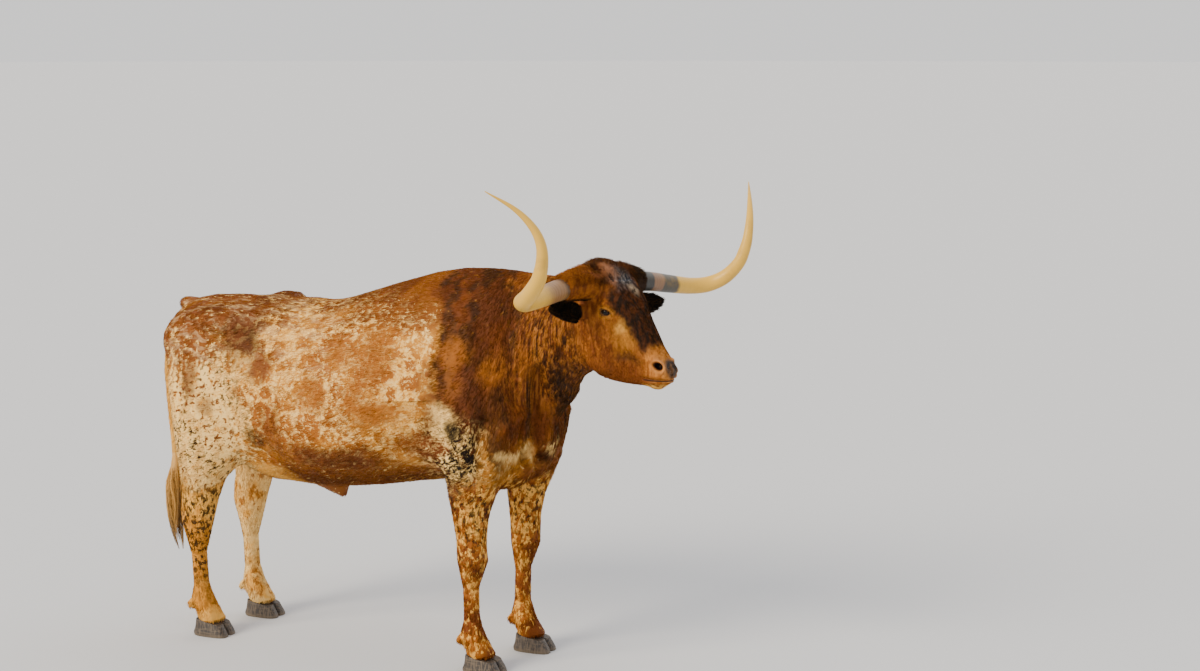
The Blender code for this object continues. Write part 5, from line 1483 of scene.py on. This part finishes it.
def switch_paths(locks, strands, rows):
    """Strand = middle of its lock + own offset * (1 - 0.78 * part) + a small wave."""
    chance = np.random.default_rng(8)
    of_lock, of_strand = (locks, 1, 1), (locks, strands, 1)
    part = np.linspace(0.0, 1.0, rows)[None, None]
    first = chance.uniform(-0.035, 0.14, of_lock) + chance.uniform(-0.012, 0.012, of_strand)
    length = chance.uniform(0.20, 0.28, of_lock) * chance.uniform(0.85, 1.08, of_strand)
    depth = np.minimum(first + length * part, 0.392)
    keys = through(SWITCH_KEYS, np.clip(depth, 0.0, SWITCH_DEPTH).ravel()).reshape(*depth.shape, 3)
    swing = chance.uniform(0.25, 0.6, of_lock) * part
    angle = (swing * np.sin(chance.uniform(0, 6.3, of_lock) + 5.0 * part)
             + (np.arange(locks) * GOLDEN_TURN)[:, None, None])
    out = keys[..., 2] * (0.30 + (chance.uniform(0.55, 0.92, of_lock) - 0.30) * eased(0.0, 0.4, part))
    own_turn = chance.uniform(0, 6.3, of_strand)
    own = 0.0095 * np.sqrt(chance.uniform(0.0, 1.0, of_strand)) * (1 - 0.78 * part) * eased(-0.3, 0.3, part)
    wave = 0.0026 * np.sin(chance.uniform(0, 6.3, of_strand) + part * chance.uniform(9, 16, of_lock))
    x = keys[..., 0] + out * np.cos(angle) + own * np.cos(own_turn) + wave * np.sin(angle)
    y = keys[..., 1] + out * np.sin(angle) + own * np.sin(own_turn) - wave * np.cos(angle)
    paths = np.stack([x, y, SWITCH_TOP - depth], axis=-1).reshape(-1, rows, 3) + np.array(SHIFT)
    radius = 0.00085 * np.sqrt(np.maximum(1 - part ** 2.2, 0.02)) * np.ones(of_strand)
    return paths, radius.reshape(-1, rows)


def core_rings():
    """Rings down the middle of the switch, which fill it: radius = outer radius * a share that falls."""
    depths = np.linspace(-0.02, 0.30, CORE_ROWS)
    keys = through(SWITCH_KEYS, np.clip(depths, 0.0, SWITCH_DEPTH))
    share = np.interp(depths, [-0.02, 0.0, 0.05, 0.20, 0.30], [0.80, 0.90, 0.66, 0.58, 0.10])
    size = (keys[:, 2] * share)[:, None]
    turn = circle(CORE_COLUMNS)
    return np.stack([keys[:, :1] + size * np.cos(turn), keys[:, 1:2] + size * np.sin(turn),
                     (SWITCH_TOP - depths)[:, None] + 0 * turn], axis=-1) + np.array(SHIFT)


# %% The switch's paint and its pieces
switch_paint = Paint("switch hair", 0.5)
switch_root = switch_paint.attribute("root", "Vector")
strand_tone = switch_paint.noise(switch_root, 900.0, 1.0)
lock_tone = switch_paint.noise(switch_root, 60.0, 2.0)
switch_paint.feed("Base Color", switch_paint.layers(
    strand_tone.shade(0.35, 0.65, rgb(88, 56, 20), rgb(176, 134, 72)),
    (lock_tone.rise(0.45, 0.6) * 0.5, rgb(60, 38, 16)),
    (switch_paint.parts(switch_root)[2].rise(0.58, 0.70) * 0.6, CREAM)))
switch = linked("tail_locks", strand_mesh("tail_locks", *switch_paths(LOCKS, STRANDS_A_LOCK, STRAND_ROWS)))
finished(switch, switch_paint, "cream hide", "tail_switch")
core = linked("tail_core", grid_mesh("tail_core", core_rings()))
numbers(core.data, "root", points_of(core.data), "FLOAT_VECTOR")
finished(core, switch_paint, "cream hide")

# %% The lashes
LASH_RADII = np.array([0.00034, 0.00032, 0.00028, 0.00022, 0.00014, 0.00005])


def lash_paths(side, count=74):
    """From the rolled edge out and forward, bending down: place + way * part + drop * part squared."""
    chance = np.random.default_rng(31)
    turn = np.radians(chance.uniform(18, 162, count))
    start = np.column_stack([np.full(count, 0.0175), 0.0190 * np.cos(turn), 0.0122 * np.sin(turn) + 0.001])
    way = np.column_stack([np.full(count, 0.85), 0.55 * np.cos(turn), 0.10 + 0.35 * np.sin(turn)])
    way += chance.normal(0, 0.10, way.shape)
    length = chance.uniform(0.009, 0.015, (count, 1, 1))
    part = np.linspace(0, 1, len(LASH_RADII))[None, :, None]
    drop = np.array((0.0, 0.0, -0.75))
    return carried(EYES[side], start[:, None] + length * (way[:, None] * part + drop * part ** 2))


lash_paint = Paint("lashes", 0.5)
lash_tone = lash_paint.noise(lash_paint.attribute("root", "Vector"), 400.0)
lash_paint.feed("Base Color", lash_tone.shade(0.4, 0.6, rgb(20, 14, 10), rgb(58, 36, 20)))
for side, name in SIDES:
    paths = lash_paths(side)
    lashes = linked("lashes_" + name, strand_mesh("lashes", paths, np.tile(LASH_RADII, (len(paths), 1))))
    finished(lashes, lash_paint, "dark ear")

# %% [markdown]
# ## A pale floor and soft light
# The floor is large and plain, and belongs to the studio and not to the steer. A broad sun high on the left
# gives form, a weak one behind lights the edges, and the pale surroundings fill the shadows.

# %% The studio
FLOOR_RADIUS = 160
turn = circle(48)
rim = np.column_stack([FLOOR_RADIUS * np.cos(turn), FLOOR_RADIUS * np.sin(turn), 0 * turn])
floor = linked("floor", array_mesh("floor", rim, [np.arange(len(rim))[None]]), False)
floor_paint = Paint("floor", 0.9)
floor_paint.wet("Base Color", (0.64, 0.65, 0.68, 1.0))
floor.data.materials.append(floor_paint.material)


def soft_sun(name, away, strength, spread, colour):
    """Even light from the direction AWAY, from a disc in the sky SPREAD wide, for soft-edged shadows."""
    light = bpy.data.lights.new(name, "SUN")
    light.energy = strength
    light.angle = spread
    light.color = colour
    holder = bpy.data.objects.new(name, light)
    bpy.context.scene.collection.objects.link(holder)
    holder.rotation_euler = (-Vector(away)).to_track_quat("-Z", "Y").to_euler()


soft_sun("key", (-2.2, -4.0, 2.6), 3.6, 0.50, (1.0, 0.89, 0.70))
soft_sun("back", (1.5, 5.0, 4.0), 0.6, 1.2, (1.0, 0.97, 0.92))
world = bpy.data.worlds.new("surroundings")
world.use_nodes = True
world.node_tree.nodes["Background"].inputs[0].default_value = (0.98, 0.97, 0.96, 1.0)
world.node_tree.nodes["Background"].inputs[1].default_value = 1.05
bpy.context.scene.world = world
